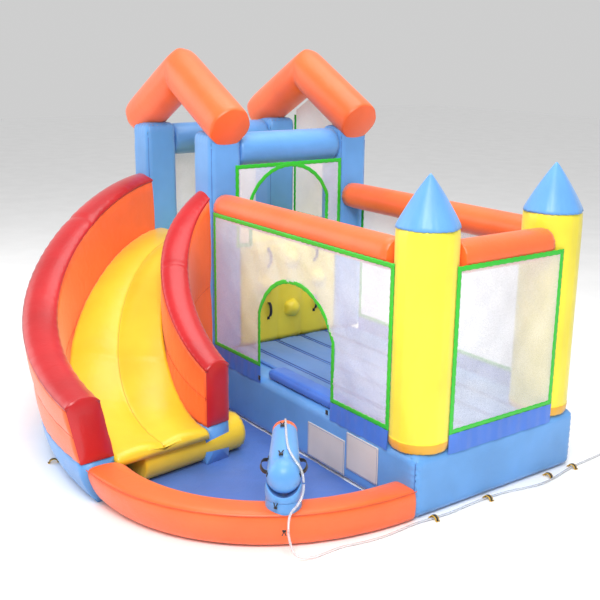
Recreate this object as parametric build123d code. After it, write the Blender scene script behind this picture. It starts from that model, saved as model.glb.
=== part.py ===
from build123d import *
import math
import os

# Inflatable bounce house with a climbing wall, a curved slide, a splash pool and a water cannon.
# Millimetres, +Z up. It is laid out from the jump base's front right bottom corner: the jump area
# reaches towards -X and +Y from there, the pool lies in front of it (-Y) and the tower to its left.
# At the end everything is moved so that the origin is the middle of the footprint, on the ground.

# ---- driving dimensions: chambers -------------------------------------------------------------
BASE_LENGTH = 2460.0        # jump base along X, up to the tower base
BASE_DEPTH = 1389.0         # along Y
BASE_HEIGHT = 400.0
BASE_BULGE = 20.0           # the sides swell past the corner seams
BASE_ROUND = 60.0           # corner and edge rounding of the base
SKIN = 4.0                  # skin and seams round the sealed air, as one wall
BASE_SKIN = 22.0            # the jump base's air is a plain box inside its rounded corners
GAP = 0.3                   # clearance between soft neighbours

FLOOR_INSET = 175.0         # from the base's edge to the quilted floor
FLOOR_THICK = 25.0
SILL_RADIUS = 75.0          # entrance sill behind the doorway

COLUMN_INSET = 156.0        # corner column's centre from both base edges
COLUMN_RADIUS = 187.5
COLUMN_TOP = 1740.0
CONE_RADIUS = 181.0
CONE_HEIGHT = 300.0
CONE_TIP_RADIUS = 6.0
RAIL_RADIUS = 102.5
RAIL_Z = 1550.0

TOWER_X = 2965.0            # tower centre, to the left of the origin corner
TOWER_Y = 725.0
POST_PITCH_X = 1030.0
POST_PITCH_Y = 1215.0
POST_WIDTH = 275.0
POST_ROUND = 60.0
POST_TOP = 2120.0           # before the gable's underside trims it
POST_AIR_TOP = 1960.0       # top of the sealed air in a post
HEADER_RADIUS = 132.0
HEADER_Z = 1958.0
PLATFORM_Z = 1220.0
PLATFORM_THICK = 220.0
PANEL_THICK = 120.0         # blue wall panels under the platform
CLIMB_TOP = 1190.0

GABLE_RADIUS = 167.0
GABLE_APEX_Z = 2525.0       # of the tube's centre line
GABLE_HALF_SPAN = 720.0
GABLE_DROP = 388.0          # from the apex down to an end

# ---- driving dimensions: slide ----------------------------------------------------------------
# A wall's plan is one cubic curve: start point and heading at the tower, end point and heading at
# the pool. Headings are degrees from +X; reach is the length of the curve's handle.
OUTER_START, OUTER_HEADING, OUTER_REACH = (-3464.0, 0.0), -60.0, 940.0
OUTER_END, OUTER_END_HEADING, OUTER_END_REACH = (-1258.0, -1533.0), 4.0, 1386.0
INNER_START, INNER_HEADING, INNER_REACH = (-2440.0, 0.0), -87.0, 437.0
INNER_END, INNER_END_HEADING, INNER_END_REACH = (-1351.0, -554.0), 9.5, 476.0
OUTER_WIDTH = 225.0
INNER_WIDTH = 190.0
OUTER_TOP = (1632.0, 1597.0, 845.0, 652.0)      # height of the wall's shoulder along the curve
INNER_TOP = (1628.0, 1325.0, 893.0, 670.0)
BED_TOP = (1237.0, 1260.0, 300.0, 285.0)
BED_THICK = 180.0
BED_GAP = 1.0
BED_LOWEST = 200.0          # its underside stays over the pool floor
WALL_START = -0.12          # the curves start a little behind the tower's face
CROWN = 45.0                # rise of the red cap over the wall's shoulders
CROWN_SIDE = 8.0            # height of the cap's edge
FOOT_HEIGHT = 280.0         # blue base under each slide wall
END_FACE_THICK = 25.0       # red face that closes a wall at the pool
END_ROLL_RADIUS = 134.0
END_ROLL_X = -1455.0        # where the roll's centre line crosses the middle of the exit
END_ROLL_LEAN = 7.0         # degrees the exit is turned from the Y axis
END_ROLL_MIDDLE_Y = -735.0
END_ROLL_LENGTH = 820.0
WALL_LEAN = 80.0            # the outer wall's foot stands this far inside its cap
LEAN_FROM = 0.35            # share of the curve over which the lean grows from nothing
FOOT_TAPER = 100.0          # and its blue foot narrows this much further at the ground
STATIONS = 12               # sections along a curved chamber

# ---- driving dimensions: pool and cannon --------------------------------------------------------
RING_START, RING_HEADING, RING_REACH = (-116.0, 0.0), -90.0, 863.0
RING_END, RING_END_HEADING, RING_END_REACH = (-1304.0, -1290.0), 175.0, 640.0
RING_WIDTH = 270.0
RING_HEIGHT = 205.0         # at the jump base
RING_RISE = 60.0            # how much taller it is at the slide
RING_SHOULDER = 0.86        # height of the inner shoulder, share of the ring's height
RING_SEAM = 0.93            # height of the outer seam
RING_LEAN = 112.0           # how far the outer face leans out at the slide
POOL_FLOOR_THICK = 12.0

CANNON_ALONG = 0.345        # share of the ring's curve at which the cannon stands
CANNON_OUTSET = 60.0        # its axis from the ring's centre line, away from the pool
STAND_RADIUS = 104.0
STAND_FOOT = 150.0          # where the stand's skirt ends on the ring's shoulders
STAND_TOP = 278.0           # the turning neck sits here
NECK_TOP = 372.0
PIVOT_HEIGHT = 402.0        # of the tilt axis over the ground
BARREL_LENGTH = 385.0
BARREL_REAR_RADIUS = 98.0
BARREL_FRONT_RADIUS = 74.0
BARREL_ROOM = 6.0           # clearance round the barrel in the neck's dish
BARREL_HEADING = 144.5      # degrees from +X, over the pool
BARREL_LIFT = 15.0          # degrees above the horizon
MUZZLE_LENGTH = 35.0
MUZZLE_WALL = 22.0
TILT_DOWN, TILT_UP = 8.0, 12.0
WEB_WIDTH = 25.0            # webbing of handles, ties and anchor loops
WEB_THICK = 4.0

# ---- driving dimensions: nets, cloth and small pieces -------------------------------------------
NET_THICK = 2.0
NET_LOW, NET_HIGH = 493.0, 1524.0
NET_PROUD = 16.0            # net plane outside the base's edge
NET_LEFT = -2286.0
NET_CLEAR = 80.0            # from a corner column's middle to its net's edge
DOOR_ARCH = 0.36            # rise of a doorway's arch, share of its width
TOWER_NET_LOW, TOWER_NET_HIGH = 1225.0, 1857.0
TOWER_NET_FRONT, TOWER_NET_BACK = 192.0, 1198.0
SKIRT_LOW = 366.0
BINDING_WIDTH = 30.0
BINDING_THICK = 5.0
DOOR_LEFT, DOOR_RIGHT, DOOR_TOP = -1645.0, -812.0, 1188.0
TOWER_DOOR_LEFT, TOWER_DOOR_RIGHT, TOWER_DOOR_TOP = 340.0, 1043.0, 1818.0
SKIRT_THICK = 6.0
PATCH_THICK = 2.0
WARNING_PATCH = (-845.0, 160.0, 400.0, 240.0)   # centre x and z, width, height
MAKER_PATCH = (-470.0, 225.0, 310.0, 250.0)
HOLD_RADIUS = 75.0
HOSE_RADIUS = 7.0
NUT_RADIUS, NUT_LENGTH = 17.0, 20.0
TAP_BORE = 13.0
CONNECTOR_LENGTH = 45.0
COIL_MIDDLE = (100.0, 2060.0)
COIL_INSIDE, COIL_OUTSIDE = 54.0, 98.0
COIL_HEIGHT = 28.0          # two layers of turns
SLEEVE_RADIUS = 90.0        # air inlet
SLEEVE_LENGTH = 220.0
SLEEVE_WALL = 3.0
ZIP_LENGTH = 300.0
ZIP_X, ZIP_Z = -1500.0, 60.0
ZIP_SLIDER = (14.0, 6.0, 24.0)
ANCHOR_YS = (105.0, 565.0, 1130.0, 1375.0)     # webbing loops along the right side of the base
ANCHOR_X = 66.0
WALL_ANCHOR = 0.80          # share of the outer wall's curve where it has one

os.makedirs("parts", exist_ok=True)
nodes = {}


def box(low, high):
    """A plain box between two corners."""
    size = [h - l for l, h in zip(low, high)]
    return Pos(*low) * Box(*size, align=(Align.MIN, Align.MIN, Align.MIN))


def air_filled(chamber):
    """Hollows a bulging chamber: the sealed air is a smaller copy about the chamber's middle."""
    bounds = chamber.bounding_box()
    middle, size = bounds.center(), bounds.size
    shares = [(s - 2 * SKIN) / s for s in (size.X, size.Y, size.Z)]
    air = scale(Pos(-middle.X, -middle.Y, -middle.Z) * chamber, by=tuple(shares))
    return chamber - Pos(middle.X, middle.Y, middle.Z) * air


def air_in_bar(a, b, radius):
    """The sealed air of a round chamber, short of its ends by the skin."""
    a, b = Vector(a), Vector(b)
    along = (b - a).normalized() * SKIN
    return cylinder_between(a + along, b - along, radius - SKIN)


def gathered(*shapes):
    """All the solids of some shapes, as one compound."""
    return Compound(children=[solid for shape in shapes for solid in shape.solids()])


def largest(shape):
    """The biggest solid of a cut shape."""
    return shape.solids().sort_by(SortBy.VOLUME)[-1]


def cubic(values, t):
    """Value of a cubic Bezier curve, for numbers or for points."""
    a, b, c, d = values
    s = 1 - t
    return a * s**3 + b * 3 * s * s * t + c * 3 * s * t * t + d * t**3


class Curve:
    """A plan curve that also runs straight on past both its ends."""

    def __init__(self, start, heading, reach, end, end_heading, end_reach):
        out = Vector(1, 0, 0).rotate(Axis.Z, heading)
        into = Vector(1, 0, 0).rotate(Axis.Z, end_heading)
        start, end = Vector(*start), Vector(*end)
        self.handles = (start, start + out * reach, end - into * end_reach, end)

    def point(self, t):
        inside = min(max(t, 0), 1)
        return cubic(self.handles, inside) + self.heading(inside) * (t - inside) * 1000

    def heading(self, t):
        p0, p1, p2, p3 = self.handles
        t = min(max(t, 0), 1)
        along = (p1 - p0) * (1 - t) ** 2 + (p2 - p1) * 2 * (1 - t) * t + (p3 - p2) * t * t
        return along.normalized()

    def beside(self, t, left):
        """The point that lies so far to the left of the curve."""
        return self.point(t) + self.heading(t).rotate(Axis.Z, 90) * left

    def section(self, t):
        """An upright plane across the curve: its X points left and its Y points up."""
        heading = self.heading(t)
        return Plane(self.point(t), x_dir=heading.rotate(Axis.Z, 90), z_dir=heading)


def shares(first=0.0, last=1.0):
    """Even steps along a curve."""
    return [first + (last - first) * i / STATIONS for i in range(STATIONS + 1)]


def along_curve(curve, profile, first=0.0, last=1.0):
    """A chamber lofted through profile(t), a sketch set across the curve at each station."""
    return loft([curve.section(t) * profile(t) for t in shares(first, last)], ruled=True)


def block(width, low, high):
    """A rectangle from low to high, centred across the curve."""
    return Pos(0, (low + high) / 2) * Rectangle(width, high - low)


def crown(width, low, side, rise):
    """A cap's section: short upright sides under a shallow arc."""
    half = width / 2
    outline = Polyline((-half, low + side), (-half, low), (half, low), (half, low + side))
    arch = ThreePointArc((half, low + side), (0, low + side + rise), (-half, low + side))
    return make_face(outline + arch)


def cylinder_between(a, b, radius, end_radius=None):
    """A round bar, or a cone where the end has its own radius."""
    a, b = Vector(a), Vector(b)
    plane = Plane(a, z_dir=b - a)
    length = (b - a).length
    low = (Align.CENTER, Align.CENTER, Align.MIN)
    if end_radius is None:
        return plane * Cylinder(radius, length, align=low)
    return plane * Cone(radius, end_radius, length, align=low)


outer_curve = Curve(OUTER_START, OUTER_HEADING, OUTER_REACH, OUTER_END, OUTER_END_HEADING, OUTER_END_REACH)
inner_curve = Curve(INNER_START, INNER_HEADING, INNER_REACH, INNER_END, INNER_END_HEADING, INNER_END_REACH)
ring_curve = Curve(RING_START, RING_HEADING, RING_REACH, RING_END, RING_END_HEADING, RING_END_REACH)

tower_left = -TOWER_X - POST_PITCH_X / 2
tower_right = -TOWER_X + POST_PITCH_X / 2
tower_front = TOWER_Y - POST_PITCH_Y / 2
tower_back = TOWER_Y + POST_PITCH_Y / 2
half_post = POST_WIDTH / 2
# everything in front of this plane hangs on the tower's and the base's front
tower_face = tower_front - half_post
behind_tower_face = box((-6000, tower_face - GAP, -100), (2000, 4000, 4000))
behind_base_face = box((-6000, -BASE_BULGE - GAP, -100), (2000, 4000, 4000))


# ---- jump area --------------------------------------------------------------------------------
def jump_base():
    body = box((-BASE_LENGTH, -BASE_BULGE, 0), (BASE_BULGE, BASE_DEPTH + BASE_BULGE, BASE_HEIGHT))
    right_edges = body.edges().filter_by(Axis.Z).group_by(Axis.X)[-1]
    low = (-BASE_LENGTH + BASE_SKIN, -BASE_BULGE + BASE_SKIN, BASE_SKIN)
    high = (BASE_BULGE - BASE_SKIN, BASE_DEPTH + BASE_BULGE - BASE_SKIN, BASE_HEIGHT - BASE_SKIN)
    return fillet(right_edges, BASE_ROUND) - box(low, high)


def bounce_floor():
    low = (post_side + GAP, FLOOR_INSET, BASE_HEIGHT)
    pad = box(low, (-FLOOR_INSET, BASE_DEPTH - FLOOR_INSET, BASE_HEIGHT + FLOOR_THICK))
    for column in (front_column, back_column):
        pad -= column_shape(*column, COLUMN_RADIUS + GAP)
    return pad


def entrance_sill():
    """A half round bolster that lies on the base just inside the doorway."""
    roll = cylinder_between((DOOR_LEFT + 20, 0, 0), (DOOR_RIGHT - 20, 0, 0), SILL_RADIUS)
    roll &= box((-4000, -500, 0), (0, 500, 500))
    return Pos(0, FLOOR_INSET - SILL_RADIUS - GAP, BASE_HEIGHT) * roll


def column_shape(x, y, radius):
    return Pos(x, y, (BASE_HEIGHT + COLUMN_TOP) / 2) * Cylinder(radius, COLUMN_TOP - BASE_HEIGHT)


def rail(a, b, columns):
    """A rail between two uprights, cut back round the corner columns."""
    tube = cylinder_between(a, b, RAIL_RADIUS)
    for column in columns:
        tube -= column_shape(*column, COLUMN_RADIUS + GAP)
    return tube


front_column = (-COLUMN_INSET, COLUMN_INSET)
back_column = (-COLUMN_INSET, BASE_DEPTH - COLUMN_INSET)
post_side = tower_right + half_post
climb_face = post_side - 15.0
rail_inset = RAIL_RADIUS - NET_PROUD

nodes["jump_base"] = jump_base()
nodes["bounce_floor"] = bounce_floor()
nodes["entrance_sill"] = entrance_sill()
cones = []
for name, (x, y) in (("front", front_column), ("back", back_column)):
    nodes[f"{name}_corner_column"] = air_filled(column_shape(x, y, COLUMN_RADIUS))
    tip = Cone(CONE_RADIUS, CONE_TIP_RADIUS, CONE_HEIGHT, align=(Align.CENTER, Align.CENTER, Align.MIN))
    cones.append(Pos(x, y, COLUMN_TOP) * tip)
nodes["column_cones"] = Compound(children=cones)

rail_end = -COLUMN_INSET - COLUMN_RADIUS      # where a rail's air stops, at the column
for name, y, column in (("front", rail_inset, front_column), ("back", BASE_DEPTH - rail_inset, back_column)):
    tube = rail((post_side, y, RAIL_Z), (column[0], y, RAIL_Z), [column])
    nodes[f"{name}_rail"] = tube - air_in_bar((post_side, y, RAIL_Z), (rail_end, y, RAIL_Z), RAIL_RADIUS)
side_x = -rail_inset
side_tube = rail((side_x, front_column[1], RAIL_Z), (side_x, back_column[1], RAIL_Z), [front_column, back_column])
side_ends = [(side_x, y, RAIL_Z) for y in (-rail_end, BASE_DEPTH + rail_end)]
nodes["side_rail"] = side_tube - air_in_bar(*side_ends, RAIL_RADIUS)


# ---- tower --------------------------------------------------------------------------------------
def gable(y, radius=GABLE_RADIUS):
    """Two tubes that meet on a mitre plane at the apex."""
    apex = Vector(-TOWER_X, y, GABLE_APEX_Z)
    halves = []
    for side in (-1, 1):
        end = apex + Vector(side * GABLE_HALF_SPAN, 0, -GABLE_DROP)
        past = apex + (apex - end).normalized() * radius * 2
        arm = cylinder_between(past, end, radius)
        half_space = box((0, -4000, 0), (4000, 4000, 5000)) if side > 0 else box((-4000, -4000, 0), (0, 4000, 5000))
        halves.append(arm & (Pos(-TOWER_X, 0, 0) * half_space))
    return halves[0] + halves[1]


def tower_post(x, y, gable_y):
    low = (x - half_post, y - half_post, BASE_HEIGHT)
    post = box(low, (x + half_post, y + half_post, POST_TOP))
    post = fillet(post.edges().filter_by(Axis.Z), POST_ROUND)
    low = (x - half_post + SKIN, y - half_post + SKIN, BASE_HEIGHT + SKIN)
    air = box(low, (x + half_post - SKIN, y + half_post - SKIN, POST_AIR_TOP))
    air = fillet(air.edges().filter_by(Axis.Z), POST_ROUND - SKIN)
    return largest(post - gable(gable_y, GABLE_RADIUS + GAP)) - air


tower_base_low = (tower_left - half_post - BASE_BULGE, tower_face, 0)
tower_base_high = (-BASE_LENGTH - GAP, tower_back + half_post, BASE_HEIGHT)
tower_base = box(tower_base_low, tower_base_high)
left_edges = tower_base.edges().filter_by(Axis.Z).group_by(Axis.X)[0]
nodes["tower_base"] = air_filled(fillet(left_edges, BASE_ROUND))

for side, x in (("left", tower_left), ("right", tower_right)):
    for end, y in (("front", tower_front), ("back", tower_back)):
        nodes[f"{end}_{side}_post"] = tower_post(x, y, y)
    start = (x, tower_front + half_post, HEADER_Z)
    nodes[f"{side}_header"] = air_filled(cylinder_between(start, (x, tower_back - half_post, HEADER_Z), HEADER_RADIUS))
nodes["front_gable"] = gable(tower_front)
nodes["back_gable"] = gable(tower_back)

bay_left = tower_left + half_post
bay_right = tower_right - half_post
bay_front = tower_front + half_post
bay_back = tower_back - half_post
nodes["tower_platform"] = air_filled(
    box((bay_left, tower_face, PLATFORM_Z - PLATFORM_THICK), (bay_right, tower_back + half_post, PLATFORM_Z))
)
panel_top = PLATFORM_Z - PLATFORM_THICK - GAP
outside_left = tower_left - half_post
tower_rear = tower_back + half_post
panels = [
    ((outside_left, bay_front, BASE_HEIGHT), (outside_left + PANEL_THICK, bay_back, PLATFORM_Z)),
    ((bay_left, tower_rear - PANEL_THICK, BASE_HEIGHT), (bay_right, tower_rear, panel_top)),
    ((bay_left, tower_face, BASE_HEIGHT), (bay_right, tower_face + PANEL_THICK, panel_top)),
]
nodes["tower_panels"] = Compound(children=[air_filled(box(*corners)) for corners in panels])

# ---- climbing wall, seen from the bounce floor, with its holds and webbing handles -------------
climb_low = (bay_right + GAP, bay_front + GAP, BASE_HEIGHT)
nodes["climbing_wall"] = air_filled(box(climb_low, (climb_face, bay_back - GAP, CLIMB_TOP)))

hold_places = [(0.22, 0.62), (0.50, 0.34), (0.78, 0.62), (0.50, 0.86)]   # shares of the wall's width and height
holds = []
climb_width = bay_back - bay_front
climb_height = CLIMB_TOP - BASE_HEIGHT
for across, up in hold_places:
    ball = Sphere(HOLD_RADIUS) & box((0, -500, -500), (500, 500, 500))
    holds.append(Pos(climb_face, bay_front + across * climb_width, BASE_HEIGHT + up * climb_height) * ball)
nodes["climbing_holds"] = Compound(children=holds)


def web_loop(span, rise, width=WEB_WIDTH, thick=WEB_THICK, foot=30.0):
    """A webbing handle on the XY plane: two flat feet along X, joined by a bowed strap that rises in Z."""
    half = span / 2
    under = ThreePointArc((-half, 0), (0, rise - thick), (half, 0))
    over = ThreePointArc((-half - thick, 0), (0, rise), (half + thick, 0))
    ends = Line((-half - thick, 0), (-half, 0)) + Line((half, 0), (half + thick, 0))
    strap = extrude(Plane.XZ * make_face(under + over + ends), width / 2, both=True)
    for side in (-1, 1):
        middle = side * (half + thick + foot / 2)
        strap += Pos(middle, 0, thick / 2) * Box(foot, width, thick)
        strap += Pos(side * (half + thick / 2), 0, thick / 2) * Box(thick * 1.6, width, thick)
    return strap


handles = []
for across, up in ((0.26, 0.90), (0.74, 0.90), (0.26, 0.36), (0.74, 0.36)):
    place = Pos(climb_face + GAP, bay_front + across * climb_width, BASE_HEIGHT + up * climb_height)
    handles.append(place * Rot(0, 90, 0) * web_loop(120, 45))
nodes["climbing_handles"] = Compound(children=handles)


# ---- slide ----------------------------------------------------------------------------------------
def leaning(width, low, high, shift_low, shift_high=0.0, taper=0.0):
    """A section from low to high whose ends are shifted sideways, and whose right foot can be cut back."""
    half = width / 2
    corners = [
        (-half + shift_low + taper, low),
        (half + shift_low, low),
        (half + shift_high, high),
        (-half + shift_high, high),
    ]
    return make_face(Polyline(*corners, close=True))


def lean_at(t, most):
    return most * min(max(t, 0) / LEAN_FROM, 1)


def wall(curve, width, top, lean):
    body = along_curve(
        curve, lambda t: leaning(width, FOOT_HEIGHT, cubic(top, max(t, 0)), lean_at(t, lean)), WALL_START
    )
    return body - behind_tower_face


def wall_foot(curve, width, lean, taper):
    def section(t):
        shift = lean_at(t, lean)
        return leaning(width, 0, FOOT_HEIGHT, shift, shift, lean_at(t, taper))

    return along_curve(curve, section, WALL_START) - behind_tower_face


def wall_cap(curve, width, top, lean):
    """The red crown along the shoulders, and the red face that closes the wall's end at the pool."""
    cap = along_curve(curve, lambda t: crown(width, cubic(top, max(t, 0)), CROWN_SIDE, CROWN), WALL_START)
    outline = leaning(width, FOOT_HEIGHT, top[3] + CROWN_SIDE, lean)
    face = extrude(curve.section(1) * outline, END_FACE_THICK, dir=tuple(curve.heading(1)))
    return (cap - behind_tower_face) + face


def slide_bed():
    """A panel between the two walls, as thick as there is room for over the floor."""
    sections = []
    for t in shares(WALL_START, 1.0):
        top, shoulder = cubic(BED_TOP, max(t, 0)), cubic(OUTER_TOP, max(t, 0))
        low = max(top - BED_THICK, BED_LOWEST)
        slope = lean_at(t, WALL_LEAN) / (shoulder - FOOT_HEIGHT)
        inner = inner_curve.beside(t, -INNER_WIDTH / 2 - BED_GAP)
        outer = outer_curve.beside(t, OUTER_WIDTH / 2 + BED_GAP + slope * (shoulder - top))
        outer_low = outer + (inner - outer).normalized() * slope * (top - low)
        up, down = Vector(0, 0, top), Vector(0, 0, low)
        sections.append(Wire.make_polygon([outer_low + down, inner + down, inner + up, outer + up], close=True))
    bed = Solid.make_loft(sections, True)
    return bed - behind_tower_face - end_roll(END_ROLL_RADIUS + GAP)


def end_roll(radius=END_ROLL_RADIUS):
    along = Vector(0, 1, 0).rotate(Axis.Z, END_ROLL_LEAN)
    middle = Vector(END_ROLL_X, END_ROLL_MIDDLE_Y, END_ROLL_RADIUS + 2)
    a = middle - along * END_ROLL_LENGTH / 2
    b = middle + along * END_ROLL_LENGTH / 2
    return cylinder_between(a, b, radius)


nodes["slide_outer_wall"] = wall(outer_curve, OUTER_WIDTH, OUTER_TOP, WALL_LEAN)
nodes["slide_inner_wall"] = wall(inner_curve, INNER_WIDTH, INNER_TOP, 0.0)
nodes["outer_wall_cap"] = wall_cap(outer_curve, OUTER_WIDTH, OUTER_TOP, WALL_LEAN)
nodes["inner_wall_cap"] = wall_cap(inner_curve, INNER_WIDTH, INNER_TOP, 0.0)
roll_room = end_roll(END_ROLL_RADIUS + GAP)
nodes["slide_outer_foot"] = wall_foot(outer_curve, OUTER_WIDTH, WALL_LEAN, FOOT_TAPER) - roll_room
nodes["slide_inner_foot"] = wall_foot(inner_curve, INNER_WIDTH, 0.0, 0.0) - roll_room
nodes["slide_bed"] = slide_bed()
nodes["slide_end_roll"] = end_roll()


# ---- pool and water cannon ------------------------------------------------------------------------
def ring_section(t, grow=0.0):
    """A flat foot, an outer face up to a seam, and a top that rounds down to the pool side."""
    share = min(max(t, 0), 1)
    high = RING_HEIGHT + RING_RISE * share + grow
    half, lean = RING_WIDTH / 2 + grow, RING_LEAN * share
    corners = [
        (-half * 0.8 + lean * 0.1, -grow),
        (half, -grow),
        (half + lean * 0.62 + 4, high * 0.45),
        (half + lean, high * RING_SEAM),
        (half * 0.6 + lean, high * 0.99),
        (lean * 0.8, high),
        (-half * 0.55 + lean * 0.7, high * RING_SHOULDER),
        (-half * 0.9 + lean * 0.5, high * 0.62),
        (-half + lean * 0.3, high * 0.33),
    ]
    return make_face(Polyline(*corners, close=True))


wall_end = outer_curve.section(1).offset(END_FACE_THICK + GAP)
past_wall_end = wall_end * Box(4000, 4000, 2500, align=(Align.CENTER, Align.CENTER, Align.MAX))
ring = along_curve(ring_curve, ring_section, -0.05, 1.1) - behind_base_face - past_wall_end
nodes["pool_ring"] = largest(ring)

exit_slope = math.tan(math.radians(END_ROLL_LEAN))


def exit_point(y, beyond=30.0):
    """A point of the line across the slide's exit, a little to the pool side of the roll's middle."""
    return (END_ROLL_X + beyond - (y - END_ROLL_MIDDLE_Y) * exit_slope, y)


base_line = -BASE_BULGE - GAP
ring_side = [ring_curve.point(t) for t in shares(0.0, 0.97)]
ring_side = [(p.X, p.Y) for p in ring_side if p.Y < base_line]
foot_side = [inner_curve.point(t) for t in shares(0.93, 0.1)]
foot_side = [(p.X, p.Y) for p in foot_side if p.Y < base_line]
floor_outline = [(ring_side[0][0], base_line)] + ring_side
floor_outline += [exit_point(ring_side[-1][1]), exit_point(foot_side[0][1] - INNER_WIDTH / 2 - 40.0)]
floor_outline += foot_side + [(foot_side[-1][0], base_line)]
pool_floor = extrude(make_face(Polyline(*floor_outline, close=True)), POOL_FLOOR_THICK, dir=(0, 0, 1))
feet = nodes["slide_inner_foot"] + nodes["slide_outer_foot"]
ring_room = along_curve(ring_curve, lambda t: ring_section(t, GAP), -0.05, 1.1)
nodes["pool_floor"] = largest(pool_floor - roll_room - feet - ring_room)

# ---- water cannon: a stand on the ring, a neck that turns on it, and a barrel that tilts in the neck ----
axis_foot = ring_curve.beside(CANNON_ALONG, CANNON_OUTSET)
low_end = (Align.CENTER, Align.CENTER, Align.MIN)
stand = Pos(axis_foot.X, axis_foot.Y, STAND_FOOT) * Cylinder(STAND_RADIUS, STAND_TOP - STAND_FOOT, align=low_end)
nodes["cannon_stand"] = largest(stand - ring_room)

pivot = Vector(axis_foot.X, axis_foot.Y, PIVOT_HEIGHT)
level_aim = Vector(1, 0, 0).rotate(Axis.Z, BARREL_HEADING)
sideways = Vector(0, 1, 0).rotate(Axis.Z, BARREL_HEADING)
aim = level_aim * math.cos(math.radians(BARREL_LIFT)) + Vector(0, 0, math.sin(math.radians(BARREL_LIFT)))
upward = aim.cross(sideways)
barrel_front = pivot + aim * BARREL_LENGTH
muzzle_end = barrel_front + aim * MUZZLE_LENGTH
neck_foot = STAND_TOP + GAP
neck = Pos(axis_foot.X, axis_foot.Y, neck_foot) * Cylinder(STAND_RADIUS, NECK_TOP - neck_foot, align=low_end)
dish = Pos(*pivot) * Sphere(BARREL_REAR_RADIUS + BARREL_ROOM)
for lift in (BARREL_LIFT - TILT_DOWN, BARREL_LIFT, BARREL_LIFT + TILT_UP):
    lifted = level_aim * math.cos(math.radians(lift)) + Vector(0, 0, math.sin(math.radians(lift)))
    dish += cylinder_between(pivot - lifted * 5, pivot + lifted * 2 * STAND_RADIUS, BARREL_REAR_RADIUS + 2 * BARREL_ROOM)
nodes["cannon_neck"] = largest(neck - dish)

barrel = cylinder_between(pivot, barrel_front, BARREL_REAR_RADIUS, BARREL_FRONT_RADIUS)
barrel += Pos(*pivot) * Sphere(BARREL_REAR_RADIUS)
nodes["cannon_barrel"] = barrel
muzzle = cylinder_between(barrel_front, muzzle_end, BARREL_FRONT_RADIUS)
muzzle -= cylinder_between(barrel_front - aim, muzzle_end + aim, BARREL_FRONT_RADIUS - MUZZLE_WALL)
nodes["cannon_muzzle"] = muzzle


def barrel_point(along, round_degrees, out):
    """A point over the barrel's skin: so far along it, turned from its top towards its right side."""
    share = min(max(along / BARREL_LENGTH, 0), 1)
    radius = BARREL_REAR_RADIUS + (BARREL_FRONT_RADIUS - BARREL_REAR_RADIUS) * share
    turn = math.radians(round_degrees)
    return pivot + aim * along + (upward * math.cos(turn) - sideways * math.sin(turn)) * (radius + out)


pair = []
for turn in (-74, 74):
    spot = barrel_point(50, turn, -4)
    outward = (spot - pivot - aim * 50).normalized()
    pair.append(Plane(spot, x_dir=aim, z_dir=outward) * web_loop(110, 48))
nodes["cannon_handles"] = Compound(children=[handle - barrel for handle in pair])


def tube(points, radius, label):
    """A hose of straight runs and tangent arcs, each arc as large as its two runs allow."""
    points = [Vector(p) for p in points]
    runs = [b - a for a, b in zip(points, points[1:])]
    radii = []
    for a, b in zip(runs, runs[1:]):
        half_turn = math.radians(a.get_angle(b)) / 2
        radii.append(0.45 * min(a.length, b.length) / math.tan(half_turn))
    path = FilletPolyline(*points, radius=radii)
    print(label, "length", round(path.length), "radii", [round(r) for r in radii])
    start = Plane(path @ 0, z_dir=path % 0)
    body = sweep(start * Circle(radius), path=path)
    print(label, "volume share", round(body.volume / (math.pi * radius**2 * path.length), 3))
    return body


hose_out = HOSE_RADIUS + 2.0
barrel_route = [
    barrel_point(BARREL_LENGTH + 22, 2, hose_out),
    barrel_point(250, 6, hose_out + 3),
    barrel_point(120, 12, hose_out + 4),
    barrel_point(30, 30, hose_out + 8),
    barrel_point(-22, 62, hose_out + 14),
    barrel_point(-38, 96, hose_out + 6),
]
nodes["barrel_tube"] = tube(barrel_route, HOSE_RADIUS, "barrel tube")


def stand_point(turn, height, out=0.0):
    """A point beside the stand, turned from straight behind the barrel towards its right side."""
    behind = level_aim * -1
    across = sideways * -1
    direction = behind * math.cos(math.radians(turn)) + across * math.sin(math.radians(turn))
    radial = direction * (STAND_RADIUS + HOSE_RADIUS + 2.0 + out)
    return Vector(axis_foot.X, axis_foot.Y, height) + radial


ground = HOSE_RADIUS + 0.5
lead_route = [
    barrel_route[-1] - Vector(0, 0, 12),
    stand_point(66, 322, 12),
    stand_point(40, 268, 12),
    stand_point(20, 250, 26),
    stand_point(10, 226, 60),
    stand_point(8, 168, 102),
]
nodes["stand_tube"] = tube(lead_route, HOSE_RADIUS, "stand tube")
lead_end = lead_route[-1] + (lead_route[-1] - lead_route[-2]).normalized() * 1.0
ground_route = [
    (12, -560), (46, -430), (64, -300), (58, -160), (50, -20), (64, 110),
    (72, 250), (60, 400), (58, 565), (70, 730), (104, 870), (124, 1000), (112, 1130), (84, 1260),
    (66, 1375), (58, 1510), (50, 1650), (38, 1800), (28, 1900), (24, 1988),
]
down = [stand_point(10, 92, 132), stand_point(18, 34, 150), stand_point(40, ground, 152)]
ground_route = [lead_end, *down, *[(x, y, ground) for x, y in ground_route]]
nodes["hose"] = tube(ground_route, HOSE_RADIUS, "hose")
coil = Cylinder(COIL_OUTSIDE, COIL_HEIGHT, align=low_end) - Cylinder(COIL_INSIDE, COIL_HEIGHT, align=low_end)
nodes["hose_coil"] = Pos(*COIL_MIDDLE, 0.5) * coil
coil_end = Vector(COIL_MIDDLE[0] + COIL_OUTSIDE + NUT_RADIUS + 2.0, COIL_MIDDLE[1] - 20.0, NUT_RADIUS + 0.5)
connector = cylinder_between(coil_end, coil_end + Vector(0, CONNECTOR_LENGTH, 0), HOSE_RADIUS + 3.0)
nodes["hose_connector"] = connector
nut_start = coil_end + Vector(0, CONNECTOR_LENGTH + GAP, 0)
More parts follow.
